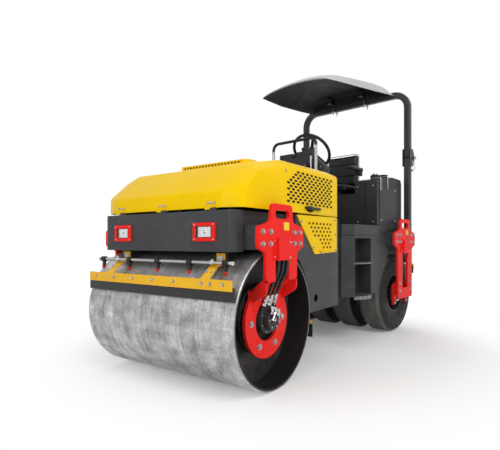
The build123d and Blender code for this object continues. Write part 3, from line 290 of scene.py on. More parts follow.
def tyre_rubber():
    """Black sidewalls with moulded rings, and a dusty band where the tread meets the ground."""
    origin = REAR_PLACE @ Vector((AXLE_X, 0, AXLE_Z))
    look = Look("tyre_rubber", specular=0.2, origin=origin, turn=STEERED)
    radius = look.radius()
    tread = look.span(radius, 0.364, 0.379, smooth=True)
    dusty = look.span(look.noise(1.0, 6, 0.65, (6, 40, 6)), 0.3, 0.75)
    band = look.mix(dusty, (0.075, 0.072, 0.068), (0.175, 0.168, 0.155))
    wall = look.tinted(11, 5, (0.014, 0.014, 0.014), (0.032, 0.031, 0.029), 0.35, 0.75)
    wall_rings = look.calc("MULTIPLY", look.waves(radius, 330.0), look.span(radius, 0.35, 0.36, 1, 0))
    relief = look.calc("ADD", look.calc("MULTIPLY", wall_rings, 0.4), look.noise(260, 3))
    look.finish(look.mix(tread, wall, band), look.clouds(20, 3, 0.5, 0.78), look.bump(relief, 0.35, 0.0012))


def rubber(name, colour, rough):
    look = Look(name, specular=0.4)
    base = look.tinted(40, 4, shade(colour, 0.7), shade(colour, 1.4))
    gloss = look.clouds(60, 3, rough - 0.08, rough + 0.1)
    look.finish(base, gloss, look.bump(look.noise(500, 2), 0.2, 0.0004))


def moulded(name, colour, rough, grain=650, depth=0.3):
    """Moulded plastic with a pebbled skin."""
    look = Look(name, specular=0.25)
    base = look.tinted(4, 5, shade(colour, 0.85), shade(colour, 1.15), high=0.75)
    gloss = look.clouds(8, 3, rough - 0.05, rough + 0.08)
    look.finish(base, gloss, look.bump(look.cells(grain), depth, 0.0006))


def canopy_plastic():
    """Pale moulded skin above, and painted shade below: faces that look down are near-black."""
    look = Look("canopy_plastic", specular=0.12)
    up = look.xyz(look.add("TexCoord").outputs["Normal"])["Z"]
    pale = look.tinted(3, 5, (0.50, 0.50, 0.52), (0.60, 0.60, 0.62))
    # Painted shade: faces whose normals point down take this near-black colour.
    dark = look.tinted(8, 5, (0.004, 0.004, 0.0045), (0.010, 0.010, 0.0105))
    base = look.mix(look.span(up, -0.02, 0.02), dark, pale)
    look.finish(base, look.clouds(9, 3, 0.42, 0.58), look.bump(look.cells(420.0), 0.2, 0.0006))


def vinyl():
    """Black seat vinyl with a leather grain."""
    look = Look("seat_vinyl", specular=0.35)
    cells = look.span(look.cells(330.0, "DISTANCE_TO_EDGE"), 0, 0.25)
    relief = look.calc("ADD", look.calc("MULTIPLY", cells, 0.5), look.noise(42, 4))
    base = look.tinted(9, 4, (0.006, 0.006, 0.0065), (0.014, 0.014, 0.015))
    look.finish(base, look.clouds(18, 3, 0.34, 0.5), look.bump(relief, 0.35, 0.0008))


def lamp_glass():
    """Lamp face: painted reflection of a bright reflector behind fluted glass, round the dark bulb in its
    middle, with painted shade along the flutes.
    """
    look = Look("lamp_glass", metallic=0.9, coat=1.0, coat_rough=0.03, origin=ZERO)
    parts = look.xyz()
    aside = look.calc("SUBTRACT", look.calc("ABSOLUTE", parts["Y"]), LAMP_Y)
    above = look.calc("SUBTRACT", parts["Z"], LAMP_Z)
    out = look.length(look.calc("DIVIDE", aside, 1.25), above)
    flutes, bands = look.waves(aside, 1150.0), look.waves(above, 620.0)
    # Painted reflection: the reflector's bright rings are painted into the colour, out from the bulb.
    stops = (
        (0.14, (0.16, 0.158, 0.15)),
        (0.24, (0.86, 0.87, 0.88)),
        (0.55, (0.66, 0.68, 0.7)),
        (0.8, (0.9, 0.92, 0.94)),
    )
    mirror = look.ramp(look.span(out, 0.0, 0.055), (0.10, 0.098, 0.094), (0.42, 0.44, 0.47), stops)
    # Painted shade along the flutes and bands of the glass.
    dark = look.span(look.calc("MULTIPLY", flutes, bands), -0.4, 0.4, 0.3, 0.0)
    relief = look.calc("ADD", flutes, look.calc("MULTIPLY", bands, 0.5))
    look.finish(look.mix(dark, mirror, (0.16, 0.17, 0.19)), 0.16, look.bump(relief, 0.22, 0.0008))


def handrail_finish():
    """Galvanised legs with a black sleeve over the top run."""
    look = Look("handrail_finish", metallic=0.55)
    height = look.calc("SUBTRACT", look.xyz()["Z"], ZERO.z)
    silver = look.tinted(45, 4, (0.30, 0.30, 0.31), (0.52, 0.52, 0.53))
    base = look.mix(look.span(height, SLEEVE_Z, SLEEVE_Z + 0.005), silver, (0.016, 0.016, 0.017))
    look.finish(base, look.clouds(30, 3, 0.3, 0.45))


def tread_plate():
    """Galvanised step with raised bars."""
    look = Look("tread_plate", metallic=0.8, origin=ZERO, turn=math.radians(45))
    parts = look.xyz()
    crossed = look.calc("MULTIPLY", look.waves(parts["X"], 260.0), look.waves(parts["Y"], 260.0))
    bars = look.span(crossed, 0.25, 0.55, smooth=True)
    base = look.tinted(22, 5, (0.10, 0.10, 0.10), (0.24, 0.24, 0.24))
    base = look.mix(look.calc("MULTIPLY", bars, 0.5), base, (0.42, 0.42, 0.42))
    look.finish(base, 0.42, look.bump(bars, 0.8, 0.002))


YELLOW = (0.935, 0.600, 0.0)
RED = (0.90, 0.020, 0.016)
YELLOW_DIRT = (0.42, 0.30, 0.10)
LAMP_Y, LAMP_Z = 0.370, 0.965
# Where the handrail's black sleeve begins, in height above the ground.
SLEEVE_Z = 1.785


def make_materials():
    paint("yellow_paint", YELLOW, YELLOW_DIRT)
    paint("red_paint", RED, (0.28, 0.12, 0.08))
    paint("scraper_yellow", (0.90, 0.50, 0.03), YELLOW_DIRT)
    powder_coat("dark_grey_paint", (0.044, 0.045, 0.049), 0.46, 700)
    powder_coat("hoop_paint", (0.036, 0.037, 0.040), 0.34, 500)
    moulded("tank_plastic", (0.030, 0.031, 0.034), 0.46, 520, 0.35)
    moulded("black_plastic", (0.016, 0.016, 0.017), 0.42)
    metal("bare_steel", (0.48, 0.48, 0.48), 0.3)
    metal("bolt_steel", (0.50, 0.50, 0.49), 0.26)
    metal("chrome", (0.66, 0.66, 0.67), 0.14)
    rubber("black_rubber", (0.013, 0.013, 0.013), 0.42)
    # Near-black: painted shade for slots, grille backs and latch cups, and the colour of the tank's dark
    # seams.
    rubber("painted_shade_and_seams", (0.004, 0.004, 0.004), 0.8)
    powder_coat("cast_housing", (0.040, 0.040, 0.042), 0.5, 240)
    powder_coat("red_nozzle", (0.62, 0.020, 0.018), 0.4, 900)
    powder_coat("blank_label", (0.80, 0.56, 0.02), 0.36, 900)
    for make in (
        drum_steel, drum_inside, tyre_rubber, canopy_plastic, vinyl, lamp_glass, handrail_finish, tread_plate
    ):
        make()


# Nodes whose look differs from their slot's plain finish.
OWN_LOOK = {
    "drum_end_discs": "drum_inside",
    "tank": "tank_plastic",
    "tank_side_covers": "tank_plastic",
    "handrail": "handrail_finish",
    "step_treads": "tread_plate",
    "rops_hoop": "hoop_paint",
    "rops_lower_posts": "hoop_paint",
    "console": "tank_plastic",
    "hood_hinges": "yellow_paint",
    "drum_scraper_bars": "scraper_yellow",
    "rear_scraper_bars": "scraper_yellow",
}


def dress_nodes():
    slots = {row["node"]: row["material_slot"] for row in frame["record"]["subparts"]}
    for name, obj in NODES.items():
        obj.data.materials.clear()
        obj.data.materials.append(MATERIALS[OWN_LOOK.get(name, slots[name])])


# --- mesh helpers ---
FORWARD, BACK, UP = (1, 0, 0), (-1, 0, 0), (0, 0, 1)


def aimed(at, normal):
    """A matrix whose origin is a point and whose z looks along a normal."""
    z = Vector(normal).normalized()
    aside = Vector((0, 0, 1)) if abs(z.z) < 0.9 else Vector((1, 0, 0))
    x = aside.cross(z).normalized()
    return Matrix.Translation(Vector(at)) @ Matrix((x, z.cross(x), z)).transposed().to_4x4()


def add_round(bm, at, normal, radius, height, top=None, sides=24):
    """A round or many-sided boss that stands on a point."""
    upper = radius if top is None else top
    matrix = aimed(at, normal) @ Matrix.Translation((0, 0, height / 2))
    bmesh.ops.create_cone(
        bm, cap_ends=True, segments=sides, radius1=radius, radius2=upper, depth=height, matrix=matrix
    )


def add_stack(bm, at, along, *rows):
    """Rounds on one line, each as (how far along, radius, height, upper radius, sides)."""
    for far, radius, height, top, sides in rows:
        add_round(bm, Vector(at) + Vector(along) * far, along, radius, height, top, sides)


def add_bolt(bm, at, normal, size, washer=1.4):
    """A hexagon head with a chamfered crown, on a washer that is so many times its size."""
    half, thick = size / 2, size * 0.13
    add_stack(
        bm, at, Vector(normal).normalized(),
        (0, half * washer, thick, half * washer * 0.94, 24),
        (thick, half * 1.1, size * 0.36, None, 6),
        (thick + size * 0.36, half * 1.1, size * 0.08, half * 0.84, 6),
        (thick + size * 0.43, size * 0.3, size * 0.05, size * 0.22, 16),
    )


def side_bolt(bm, side, x, y, z, size, washer=1.4):
    """A bolt that faces out from a side, as far out as y says."""
    add_bolt(bm, (x, side * y, z), (0, side, 0), size, washer)


def side_round(bm, side, x, y, z, radius, height, top=None, sides=24):
    """A boss that faces out from a side."""
    add_round(bm, (x, side * y, z), (0, side, 0), radius, height, top, sides)


def add_screw(bm, at, normal, size):
    """A round-headed screw with a socket."""
    half, height = size / 2, size * 0.22
    add_stack(
        bm, at, Vector(normal).normalized(),
        (0, half, height, half * 0.86, 20), (height, half * 0.86, size * 0.08, half * 0.5, 20),
    )


def ring(x, z, radius, count):
    """Places evenly round a centre, seen from the side; the first is half a step from the top."""
    turns = [math.tau * (n + 0.5) / count for n in range(count)]
    return [(x + radius * math.sin(turn), z + radius * math.cos(turn)) for turn in turns]


def bevel(bm, edges, offset, segments=3, clamp=False):
    bmesh.ops.bevel(
        bm, geom=edges, offset=offset, segments=segments, profile=0.5, affect="EDGES", clamp_overlap=clamp
    )


def rise(edge, axis):
    """How far apart an edge's ends are along an axis."""
    return abs(edge.verts[0].co[axis] - edge.verts[1].co[axis])


def folds(bm, angle):
    """Edges between two faces that meet at more than an angle."""
    return (edge for edge in bm.edges if len(edge.link_faces) == 2 and edge.calc_face_angle(0) > angle)


def add_box(bm, x, y, z, rounding=0.0):
    """A box between two places each way, named in either order."""
    x, y, z = sorted(x), sorted(y), sorted(z)
    made = bmesh.ops.create_cube(bm, size=1)["verts"]
    centre = Vector([(low + high) / 2 for low, high in (x, y, z)])
    sizes = [high - low for low, high in (x, y, z)]
    for vert in made:
        vert.co = Vector([c * s for c, s in zip(vert.co, sizes)]) + centre
    if rounding:
        bevel(bm, list({edge for vert in made for edge in vert.link_edges}), rounding)


def around(place, half):
    """The two places half a width below and above a place."""
    return place - half, place + half


def add_plate(bm, corners, span, axis):
    """A flat plate from corners in two directions, between two places along the third."""
    order = {"x": (2, 0, 1), "y": (0, 2, 1), "z": (0, 1, 2)}[axis]
    faces = []
    for along in sorted(span):
        faces.append([bm.verts.new([(a, b, along)[n] for n in order]) for a, b in corners])
    low, high = faces
    bm.faces.new(low)
    bm.faces.new(list(reversed(high)))
    for n in range(len(corners)):
        m = (n + 1) % len(corners)
        bm.faces.new((low[n], high[n], high[m], low[m]))
    bmesh.ops.recalc_face_normals(bm, faces=bm.faces)


def side_box(bm, side, x, y, z, rounding=0.0):
    """A box on one side, whose y is measured out from the machine's middle."""
    add_box(bm, x, (side * y[0], side * y[1]), z, rounding)


def side_plate(bm, side, corners, y):
    add_plate(bm, corners, (side * y[0], side * y[1]), "y")


def meshes(count):
    """Empty meshes to draw in."""
    return [bmesh.new() for _ in range(count)]


def mesh_of(name, bm):
    mesh = bpy.data.meshes.new(name)
    bm.to_mesh(mesh)
    bm.free()
    return mesh


def piece(name, bm, body, look, stands_for=None, sharp=35):
    """Turns a mesh drawn on the straight machine into an object on a body."""
    bm.transform(place_of(body))
    bmesh.ops.recalc_face_normals(bm, faces=bm.faces)
    mesh = mesh_of(name, bm)
    for face in mesh.polygons:
        face.use_smooth = True
    mesh.set_sharp_from_angle(angle=math.radians(sharp))
    mesh.materials.append(MATERIALS[look])
    obj = link(name, mesh)
    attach(obj, body)
    if stands_for:
        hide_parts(stands_for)


def rounded(points, bend, steps=5):
    """A path whose corners are turned into arcs."""
    points = [Vector(p) for p in points]
    path = [points[0]]
    for before, corner, after in zip(points, points[1:], points[2:]):
        back, ahead = before - corner, after - corner
        reach = min(bend, back.length * 0.45, ahead.length * 0.45)
        first, last = corner + back.normalized() * reach, corner + ahead.normalized() * reach
        for n in range(steps + 1):
            t = n / steps
            path.append(first * (1 - t) ** 2 + corner * 2 * t * (1 - t) + last * t**2)
    path.append(points[-1])
    return path


def round_curve(name, kind, spots, radius, fineness, look):
    curve = bpy.data.curves.new(name, "CURVE")
    curve.dimensions = "3D"
    curve.bevel_depth = radius
    curve.bevel_resolution = fineness
    curve.use_fill_caps = True
    spline = curve.splines.new(kind)
    spline.points.add(len(spots) - 1)
    for point, spot in zip(spline.points, spots):
        point.co = (*spot, 1)
    curve.materials.append(MATERIALS[look])
    return link(name, curve)


def tube(name, points, radius, look, bend=0.02):
    """A bent round bar on the rear frame."""
    obj = round_curve(name, "POLY", [REAR_PLACE @ p for p in rounded(points, bend)], radius, 4, look)
    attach(obj, "rear_frame")


# --- hoses ---
HOSE_X = (0.054, 0.006, -0.042)
HOSE_DIAMETER = 0.020
# A hose's route on the machine's left: place across the machine, height.
HOSE_ROUTE = (
    (0.699, 0.846), (0.699, 0.790), (0.691, 0.722), (0.653, 0.658), (0.626464, 0.595848), (0.603, 0.545)
)


def make_hoses():
    for side, label in SIDES:
        for n, x in enumerate(hoses_on(side)):
            points = [FRONT_PLACE @ Vector((x, side * y, z)) for y, z in HOSE_ROUTE]
            obj = round_curve(f"{label}_hose_{n + 1}", "NURBS", points, HOSE_DIAMETER / 2, 5, "black_rubber")
            obj.data.resolution_u = 10
            obj.data.splines[0].order_u = 3
            obj.data.splines[0].use_endpoint_u = True
            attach(obj, "front_frame")
            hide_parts(f"{label}_drum_hose_{n + 1}")


def hoses_on(side):
    """Three hoses on the left, and two on the right."""
    return HOSE_X if side > 0 else HOSE_X[::2]


# --- soft seat parts ---
SEAT_Y = 0.060
VOXEL = 0.006
FRAMES = 20
CHANNEL_DEPTH = 0.007
CHANNEL_WIDTH = 0.008
# How far below the outer face a channel's pull ends.
CHANNEL_REACH = 0.03
PRESSURE = 4.0
PIPING_R = 0.0032


def evaluated(obj):
    """The object's mesh with its modifiers applied; the modifiers are gone afterwards."""
    depsgraph = bpy.context.evaluated_depsgraph_get()
    made = bpy.data.meshes.new_from_object(obj.evaluated_get(depsgraph))
    obj.modifiers.clear()
    return made


def swell(obj, limit):
    """Remesh a form, let pressure swell it, hold each point within a limit, and keep the result."""
    scene = bpy.context.scene
    remesh = obj.modifiers.new("remesh", "REMESH")
    remesh.mode = "VOXEL"
    remesh.voxel_size = VOXEL
    obj.data = evaluated(obj)
    before = [v.co.copy() for v in obj.data.vertices]
    cloth = obj.modifiers.new("cloth", "CLOTH")
    cloth.settings.use_pressure = True
    cloth.settings.uniform_pressure_force = PRESSURE
    cloth.settings.effector_weights.gravity = 0.0
    cloth.point_cache.frame_start = 1
    cloth.point_cache.frame_end = FRAMES
    scene.frame_start, scene.frame_end = 1, FRAMES
    for n in range(1, FRAMES + 1):
        scene.frame_set(n)
    made = evaluated(obj)
    for vert, was in zip(made.vertices, before):
        move = vert.co - was
        if move.length > limit:
            vert.co = was + move.normalized() * limit
    obj.data = made
    scene.frame_set(1)


def press(obj, axis, place, face):
    """Press a sewn channel into the form's outer face, where one coordinate has a value."""
    verts = obj.data.vertices
    outer = max(v.co[face] for v in verts)
    for vert in verts:
        near = math.exp(-(((vert.co[axis] - place) / CHANNEL_WIDTH) ** 2))
        close = max(0.0, 1 - abs(vert.co[face] - outer) / CHANNEL_REACH)
        vert.co[face] -= CHANNEL_DEPTH * near * close


def make_pad(name, x, y, z, rounding, limit=0.008, channels=(), stands_for=None):
    """A simulated pad with its sewn channels, each given as (axis, place, face axis)."""
    bm = bmesh.new()
    add_box(bm, x, y, z, rounding)
    bmesh.ops.triangulate(bm, faces=bm.faces)
    obj = link(name, mesh_of(name, bm))
    swell(obj, limit)
    for channel in channels:
        press(obj, *channel)
    obj.data.transform(REAR_PLACE)
    for face in obj.data.polygons:
        face.use_smooth = True
    obj.data.materials.clear()
    obj.data.materials.append(MATERIALS["seat_vinyl"])
    smooth = obj.modifiers.new("subdivision", "SUBSURF")
    smooth.levels = smooth.render_levels = 1
    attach(obj, "rear_frame")
    if stands_for:
        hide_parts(stands_for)


def piping(name, corners, bend):
    """A sewn cord round a cushion; it starts in the middle of its first side."""
    start = [(a + b) / 2 for a, b in zip(corners[0], corners[1])]
    tube(name, [start, *corners[1:], corners[0], start], PIPING_R, "seat_vinyl", bend)


def square(first, second):
    """The four corners of a rectangle, in order."""
    return [(first[0], second[0]), (first[1], second[0]), (first[1], second[1]), (first[0], second[1])]


def make_seat():
    seams = [(1, y, 2) for y in around(SEAT_Y, 0.115)]
    make_pad(
        "seat_cushion_pad", (-2.132, -1.798), around(SEAT_Y, 0.207), (1.415, 1.484), 0.026,
        channels=[*seams, (0, -2.03, 2)], stands_for="seat_cushion",
    )
    corners = [(x, y, 1.462) for x, y in square((-2.138, -1.792), around(SEAT_Y, 0.213))]
    piping("seat_cushion_piping", corners, 0.04)
    make_pad(
        "seat_back_pad", (-2.154, -2.092), around(SEAT_Y, 0.183), (1.495, 1.828), 0.024,
        channels=((2, 1.60, 0), (2, 1.72, 0)), stands_for="seat_back",
    )
    corners = [(-2.118, y, z) for y, z in square(around(SEAT_Y, 0.190), (1.492, 1.835))]
    piping("seat_back_piping", corners, 0.05)
    for side, label in SIDES:
        y = (SEAT_Y + side * 0.194, SEAT_Y + side * 0.230)
        make_pad(f"{label}_armrest_pad", (-2.146, -1.884), y, (1.643, 1.684), 0.014, 0.005)
        bm = bmesh.new()
        add_box(bm, (-2.15, -2.10), (SEAT_Y + side * 0.186, SEAT_Y + side * 0.216), (1.60, 1.655), 0.006)
        piece(f"{label}_armrest_bracket", bm, "rear_frame", "black_plastic")


# --- small parts on the front frame ---
PLATE_FACE = 0.690
RING_FACE = 0.580
RING_Z = 0.420
MOTOR_FACE = 0.628
# The disc behind the drum motor.
DISC_FACE = MOTOR_FACE - 0.040
DRUM_Z = 0.430
BAR_BOLTS = (-0.559, -0.431, -0.367, -0.179, 0.006, 0.193, 0.423, 0.481, 0.574)
# On the lower side panels: along the machine, height.
PANEL_BOLTS = (
    (-0.345, 1.047), (-0.873, 1.076), (-0.892, 0.965), (-0.522, 0.867), (-0.641, 0.829), (-0.890, 0.845)
)
NOZZLE_YS = (-0.55, -0.275, 0.0, 0.275, 0.55)
SPRAY_X, SPRAY_Z = 0.370, 0.788
SPRAY_END = 0.598
ARM_YS = (-0.395, 0.452)
ARM_HALF = 0.032


def plate_bolts(bm, side, middle_x, rows):
    """Bolts through the shoulders of a hanging plate."""
    for x in (0.214, 0.133, -0.137, -0.209):
        for z in rows:
            side_bolt(bm, side, middle_x + x, PLATE_FACE, z, 0.025)


def make_front_bolts():
    bm = bmesh.new()
    for side, _ in SIDES:
        plate_bolts(bm, side, 0.0, (0.966, 0.896))
        for x, z in ring(0.0, RING_Z, 0.172, 6):
            side_bolt(bm, side, x, RING_FACE, z, 0.022, 1.9)
        for x, z in ring(0.0, DRUM_Z, 0.052, 6)[1:5]:
            side_bolt(bm, side, x, MOTOR_FACE, z, 0.011, 1.3)
        for x, z in ring(0.0, DRUM_Z, 0.080, 8):
            if z < 0.49:
                side_bolt(bm, side, x, DISC_FACE, z, 0.012, 1.3)
        for x in (0.127, -0.127):
            add_bolt(bm, (x, side * 0.637, 0.662), (0, side * -0.55, 0.83), 0.018)
    for y in BAR_BOLTS:
        on_arm = min(abs(y - arm) for arm in ARM_YS) < ARM_HALF
        add_bolt(bm, (0.434 if on_arm else 0.428, y, 0.675), FORWARD, 0.016)
    for x, z, half, normal, size in (
        (0.298, 0.815, 0.016, FORWARD, 0.014),
        (0.400, 0.7392, 0.02, (0.66, 0, 0.75), 0.010),
    ):
        for arm in ARM_YS:
            for y in around(arm, half):
                add_bolt(bm, (x, y, z), normal, size)
    for x, z in PANEL_BOLTS:
        for side, _ in SIDES:
            side_bolt(bm, side, x, 0.628, z, 0.013)
    piece("front_frame_bolts", bm, "front_frame", "bolt_steel")


def make_covers():
    """Flanges, screws and blank labels on the four hanging plates."""
    for label, middle_x in (("front", 0.0), ("rear", AXLE_X)):
        flanges, screws, labels = meshes(3)
        for side, _ in SIDES:
            flange_x, label_x = (middle_x + 0.076, middle_x + 0.098), (middle_x - 0.078, middle_x - 0.016)
            side_box(flanges, side, flange_x, (PLATE_FACE, PLATE_FACE + 0.004), (0.806, 0.925), 0.0015)
            for x, z, out in (
                (0.087, 0.913, 0.004), (0.087, 0.818, 0.004), (-0.052, 0.905, 0.026), (-0.048, 0.812, 0.026)
            ):
                add_screw(screws, (middle_x + x, side * (PLATE_FACE + out), z), (0, side, 0), 0.013)
            side_box(labels, side, label_x, (PLATE_FACE, PLATE_FACE + 0.0006), (0.978, 1.026))
        piece(f"{label}_cover_flanges", flanges, f"{label}_frame", "red_paint")
        piece(f"{label}_cover_screws", screws, f"{label}_frame", "bolt_steel")
        piece(f"{label}_plate_labels", labels, f"{label}_frame", "blank_label")


# The nuts at both ends of a hose elbow, along the line out from the machine's middle.
ELBOW_NUTS = ((0.5605, 0.018, 0.016, None, 6), (0.637, 0.0155, 0.012, None, 6))
# The drum motor's small fittings: along the machine, height, lean.
FITTINGS = ((0.040, 0.492, 0.25), (0.004, 0.484, 0.0), (-0.036, 0.470, -0.2), (0.022, 0.452, 0.5))
# A fitting's nut, pipe and nut along its line.
FITTING = (
    (-0.022, 0.0125, 0.012, None, 6), (-0.010, 0.0095, 0.026, None, 18), (0.014, 0.0125, 0.010, None, 6)
)


def make_drum_fittings():
    """Hose ends, port nuts, elbow nuts and caps on the two drum motors."""
    bm, dark = meshes(2)
    (top_y, top_z), (mouth_y, mouth_z) = HOSE_ROUTE[0], HOSE_ROUTE[-1]
    for side, _ in SIDES:
        lean = (0, side * 0.419, 0.908)
        for x in HOSE_X:
            mouth = (x, side * mouth_y, mouth_z)
            add_stack(bm, mouth, lean, (-0.026, 0.0185, 0.016, None, 6), (-0.008, 0.0165, 0.012, 0.0135, 20))
        for x in hoses_on(side):
            mouth, top = (x, side * mouth_y, mouth_z), (x, side * top_y, top_z)
            add_stack(bm, mouth, lean, (0.002, 0.0155, 0.014, None, 6), (0.016, 0.0128, 0.030, 0.0122, 20))
            add_stack(bm, top, UP, (-0.006, 0.0165, 0.017, None, 6), (-0.038, 0.0126, 0.032, 0.013, 20))
            add_stack(bm, (x, 0, 0.903), (0, side, 0), *ELBOW_NUTS)
        for x, z, lean_x in FITTINGS:
            spot = Vector((x, side * (MOTOR_FACE + 0.013), z))
            turn = Vector((lean_x, side * 0.15, -1))
            add_stack(bm, spot, turn, *FITTING)
            add_round(bm, spot + turn * 0.018, (0, side, 0), 0.010, 0.016, sides=6)
        for x, z, radius in ((0.031, 0.437, 0.012), (-0.030, 0.415, 0.010)):
            side_round(bm, side, x, MOTOR_FACE, z, radius, 0.016, sides=6)
            side_round(bm, side, x, MOTOR_FACE + 0.016, z, radius * 0.75, 0.008, radius * 0.6, 16)
        side_round(dark, side, 0, MOTOR_FACE, DRUM_Z, 0.024, 0.006, 0.021, 24)
        side_round(dark, side, 0, DISC_FACE, DRUM_Z, 0.090, 0.003, 0.088, 40)
    piece("drum_motor_fittings", bm, "front_frame", "chrome")
    piece("drum_motor_caps", dark, "front_frame", "cast_housing")


def make_lamps_trim():
    screws, seals, bulbs = meshes(3)
    for side, _ in SIDES:
        middle = side * LAMP_Y
        for y in around(middle, 0.0745):
            for z in around(LAMP_Z, 0.0435):
                add_screw(screws, (0.357, y, z), FORWARD, 0.010)
        for y, z in (
            ((-0.059, 0.059), (0.0295, 0.033)),
            ((-0.059, 0.059), (-0.033, -0.0295)),
            ((0.0555, 0.059), (-0.033, 0.033)),
            ((-0.059, -0.0555), (-0.033, 0.033)),
        ):
            add_box(seals, (0.350, 0.3585), [middle + place for place in y], [LAMP_Z + place for place in z])
        add_round(bulbs, (0.350, middle, LAMP_Z), FORWARD, 0.0105, 0.004, 0.008, 24)
    piece("lamp_screws", screws, "front_frame", "bolt_steel")
    piece("lamp_seals", seals, "front_frame", "black_rubber")
    piece("lamp_bulbs", bulbs, "front_frame", "chrome")


def make_spray_trim():
    tips, clamps = meshes(2)
    down = (0.09, 0, -1)
    for y in NOZZLE_YS:
        add_round(tips, (SPRAY_X + 0.004, y, SPRAY_Z - 0.048), down, 0.0135, 0.012, 0.0125, 20)
        add_round(tips, (SPRAY_X + 0.005, y, SPRAY_Z - 0.060), down, 0.0085, 0.010, 0.006, 16)
    for y in ARM_YS:
        add_round(clamps, (SPRAY_X, y - 0.010, SPRAY_Z), (0, 1, 0), 0.0138, 0.020, sides=28)
        add_box(clamps, around(SPRAY_X, 0.012), around(y, 0.009), (SPRAY_Z + 0.010, SPRAY_Z + 0.016), 0.002)
        add_bolt(clamps, (SPRAY_X, y, SPRAY_Z + 0.016), UP, 0.010)
    for side in (-1, 1):
        side_round(clamps, side, SPRAY_X, SPRAY_END - 0.012, SPRAY_Z, 0.0135, 0.014, 0.012, 24)
    piece("spray_nozzle_tips", tips, "front_frame", "red_nozzle")
    piece("spray_tube_clamps", clamps, "front_frame", "chrome")


def make_hood_trim():
    bm = bmesh.new()
    for y in (-0.41, 0.0, 0.41):
        for aside in (-0.026, 0.0, 0.026):
            add_bolt(bm, (0.334, y + aside, 1.134), FORWARD, 0.0125)
    for side, _ in SIDES:
        side_bolt(bm, side, -0.172, 0.61, 1.371, 0.013)
    piece("hood_bolts", bm, "hood", "bolt_steel")


# --- small parts on the rear frame ---
HOOP_TOP = 2.505
HOOP_X = -2.450
CAP_Y = 0.515
CAP_GRIPS = 14


def tank_top(x):
    """Height of the tank's upper face at a place along the machine."""
    edge = ((-1.8, 1.495), (-1.95, 1.528), (-2.14, 1.552), (-2.3, 1.548), (-2.62, 1.53))
    for (x0, z0), (x1, z1) in zip(edge, edge[1:]):
        if x1 <= x <= x0:
            return z0 + (z1 - z0) * (x - x0) / (x1 - x0)


def make_rear_bolts():
    bm = bmesh.new()
    for side, _ in SIDES:
        plate_bolts(bm, side, AXLE_X, (0.976, 0.908))
        for x, z in ((-1.868, 1.420), (-2.197, 1.420), (-1.868, 1.115), (-2.197, 1.115)):
            side_bolt(bm, side, x, 0.605, z, 0.015)
        for x in around(AXLE_X, 0.140):
            side_bolt(bm, side, x, 0.642, 0.308, 0.020, 1.5)
            side_bolt(bm, side, x, PLATE_FACE, 0.43, 0.022)
            side_bolt(bm, side, x, PLATE_FACE, 0.50, 0.022)
        for z in (1.02, 1.09):
            side_bolt(bm, side, HOOP_X, 0.670, z, 0.018)
        for y in (0.40, 0.56):
            for z in (1.10, 1.44):
                add_bolt(bm, (-1.80, side * y, z), FORWARD, 0.012)
        side_bolt(bm, side, -2.502, 0.692, 1.79, 0.024, 1.5)
        add_bolt(bm, (-2.502, side * 0.582, 1.79), (0, -side, 0), 0.024, 1.5)
        for x in (-1.42, -1.60):
            side_bolt(bm, side, x, 0.4705, 0.700, 0.013)
    for y in (-0.52, -0.32, -0.10, 0.10, 0.32, 0.52):
        add_bolt(bm, (-2.716, y, 0.640), BACK, 0.015)
    piece("rear_frame_bolts", bm, "rear_frame", "bolt_steel")


def make_fold_pins():
    pins = bmesh.new()
    for side, _ in SIDES:
        side_round(pins, side, HOOP_X, 0.6805, 1.735, 0.013, 0.020, 0.012, 20)
        side_round(pins, side, HOOP_X, 0.6805, 1.653, 0.011, 0.014, 0.010, 20)
    piece("fold_pins", pins, "rear_frame", "chrome")
    for side, label in SIDES:
        grip = ((0.694, 1.735), (0.712, 1.735), (0.712, 1.66), (0.690, 1.655))
        tube(f"{label}_pin_handle", [(HOOP_X, side * y, z) for y, z in grip], 0.004, "chrome", 0.012)


def make_tank_trim():
    caps = bmesh.new()
    for x, radius, height in ((-1.935, 0.040, 0.036), (-2.12, 0.044, 0.030)):
        top = tank_top(x) + height
        low = top - height * 0.75
        for n in range(CAP_GRIPS):
            turn = math.tau * n / CAP_GRIPS
            grip_x, grip_y = x + radius * math.cos(turn), CAP_Y + radius * math.sin(turn)
            add_box(caps, around(grip_x, 0.004), around(grip_y, 0.004), (low, low + height * 0.62), 0.0015)
        add_round(caps, (x, CAP_Y, top), UP, radius * 0.72, 0.004, radius * 0.66, 32)
    piece("tank_cap_grips", caps, "rear_frame", "black_plastic")
    breather = bmesh.new()
    add_round(breather, (-1.935, CAP_Y, tank_top(-1.935) + 0.040), UP, 0.022, 0.014, 0.020, 28)
    piece("tank_breather", breather, "rear_frame", "chrome")
    for n, x in enumerate((-1.865, -2.02)):
        high, low = tank_top(x) + 0.012, tank_top(x) - 0.11
        hook = [(x, 0.50, high), (x, 0.607, high), (x, 0.607, low)]
        tube(f"tank_hook_{n + 1}", hook, 0.005, "bolt_steel", 0.012)
    seams = bmesh.new()
    for side, _ in SIDES:
        side_box(seams, side, (-2.352, -2.348), (0.6003, 0.6018), (1.075, 1.540))
        side_box(seams, side, (-2.35, -1.80), (0.6003, 0.6014), (1.070, 1.074))
        side_box(seams, side, (-1.8004, -1.7985), (0.478, 0.482), (1.07, 1.485))
    piece("tank_seams", seams, "rear_frame", "painted_shade_and_seams")


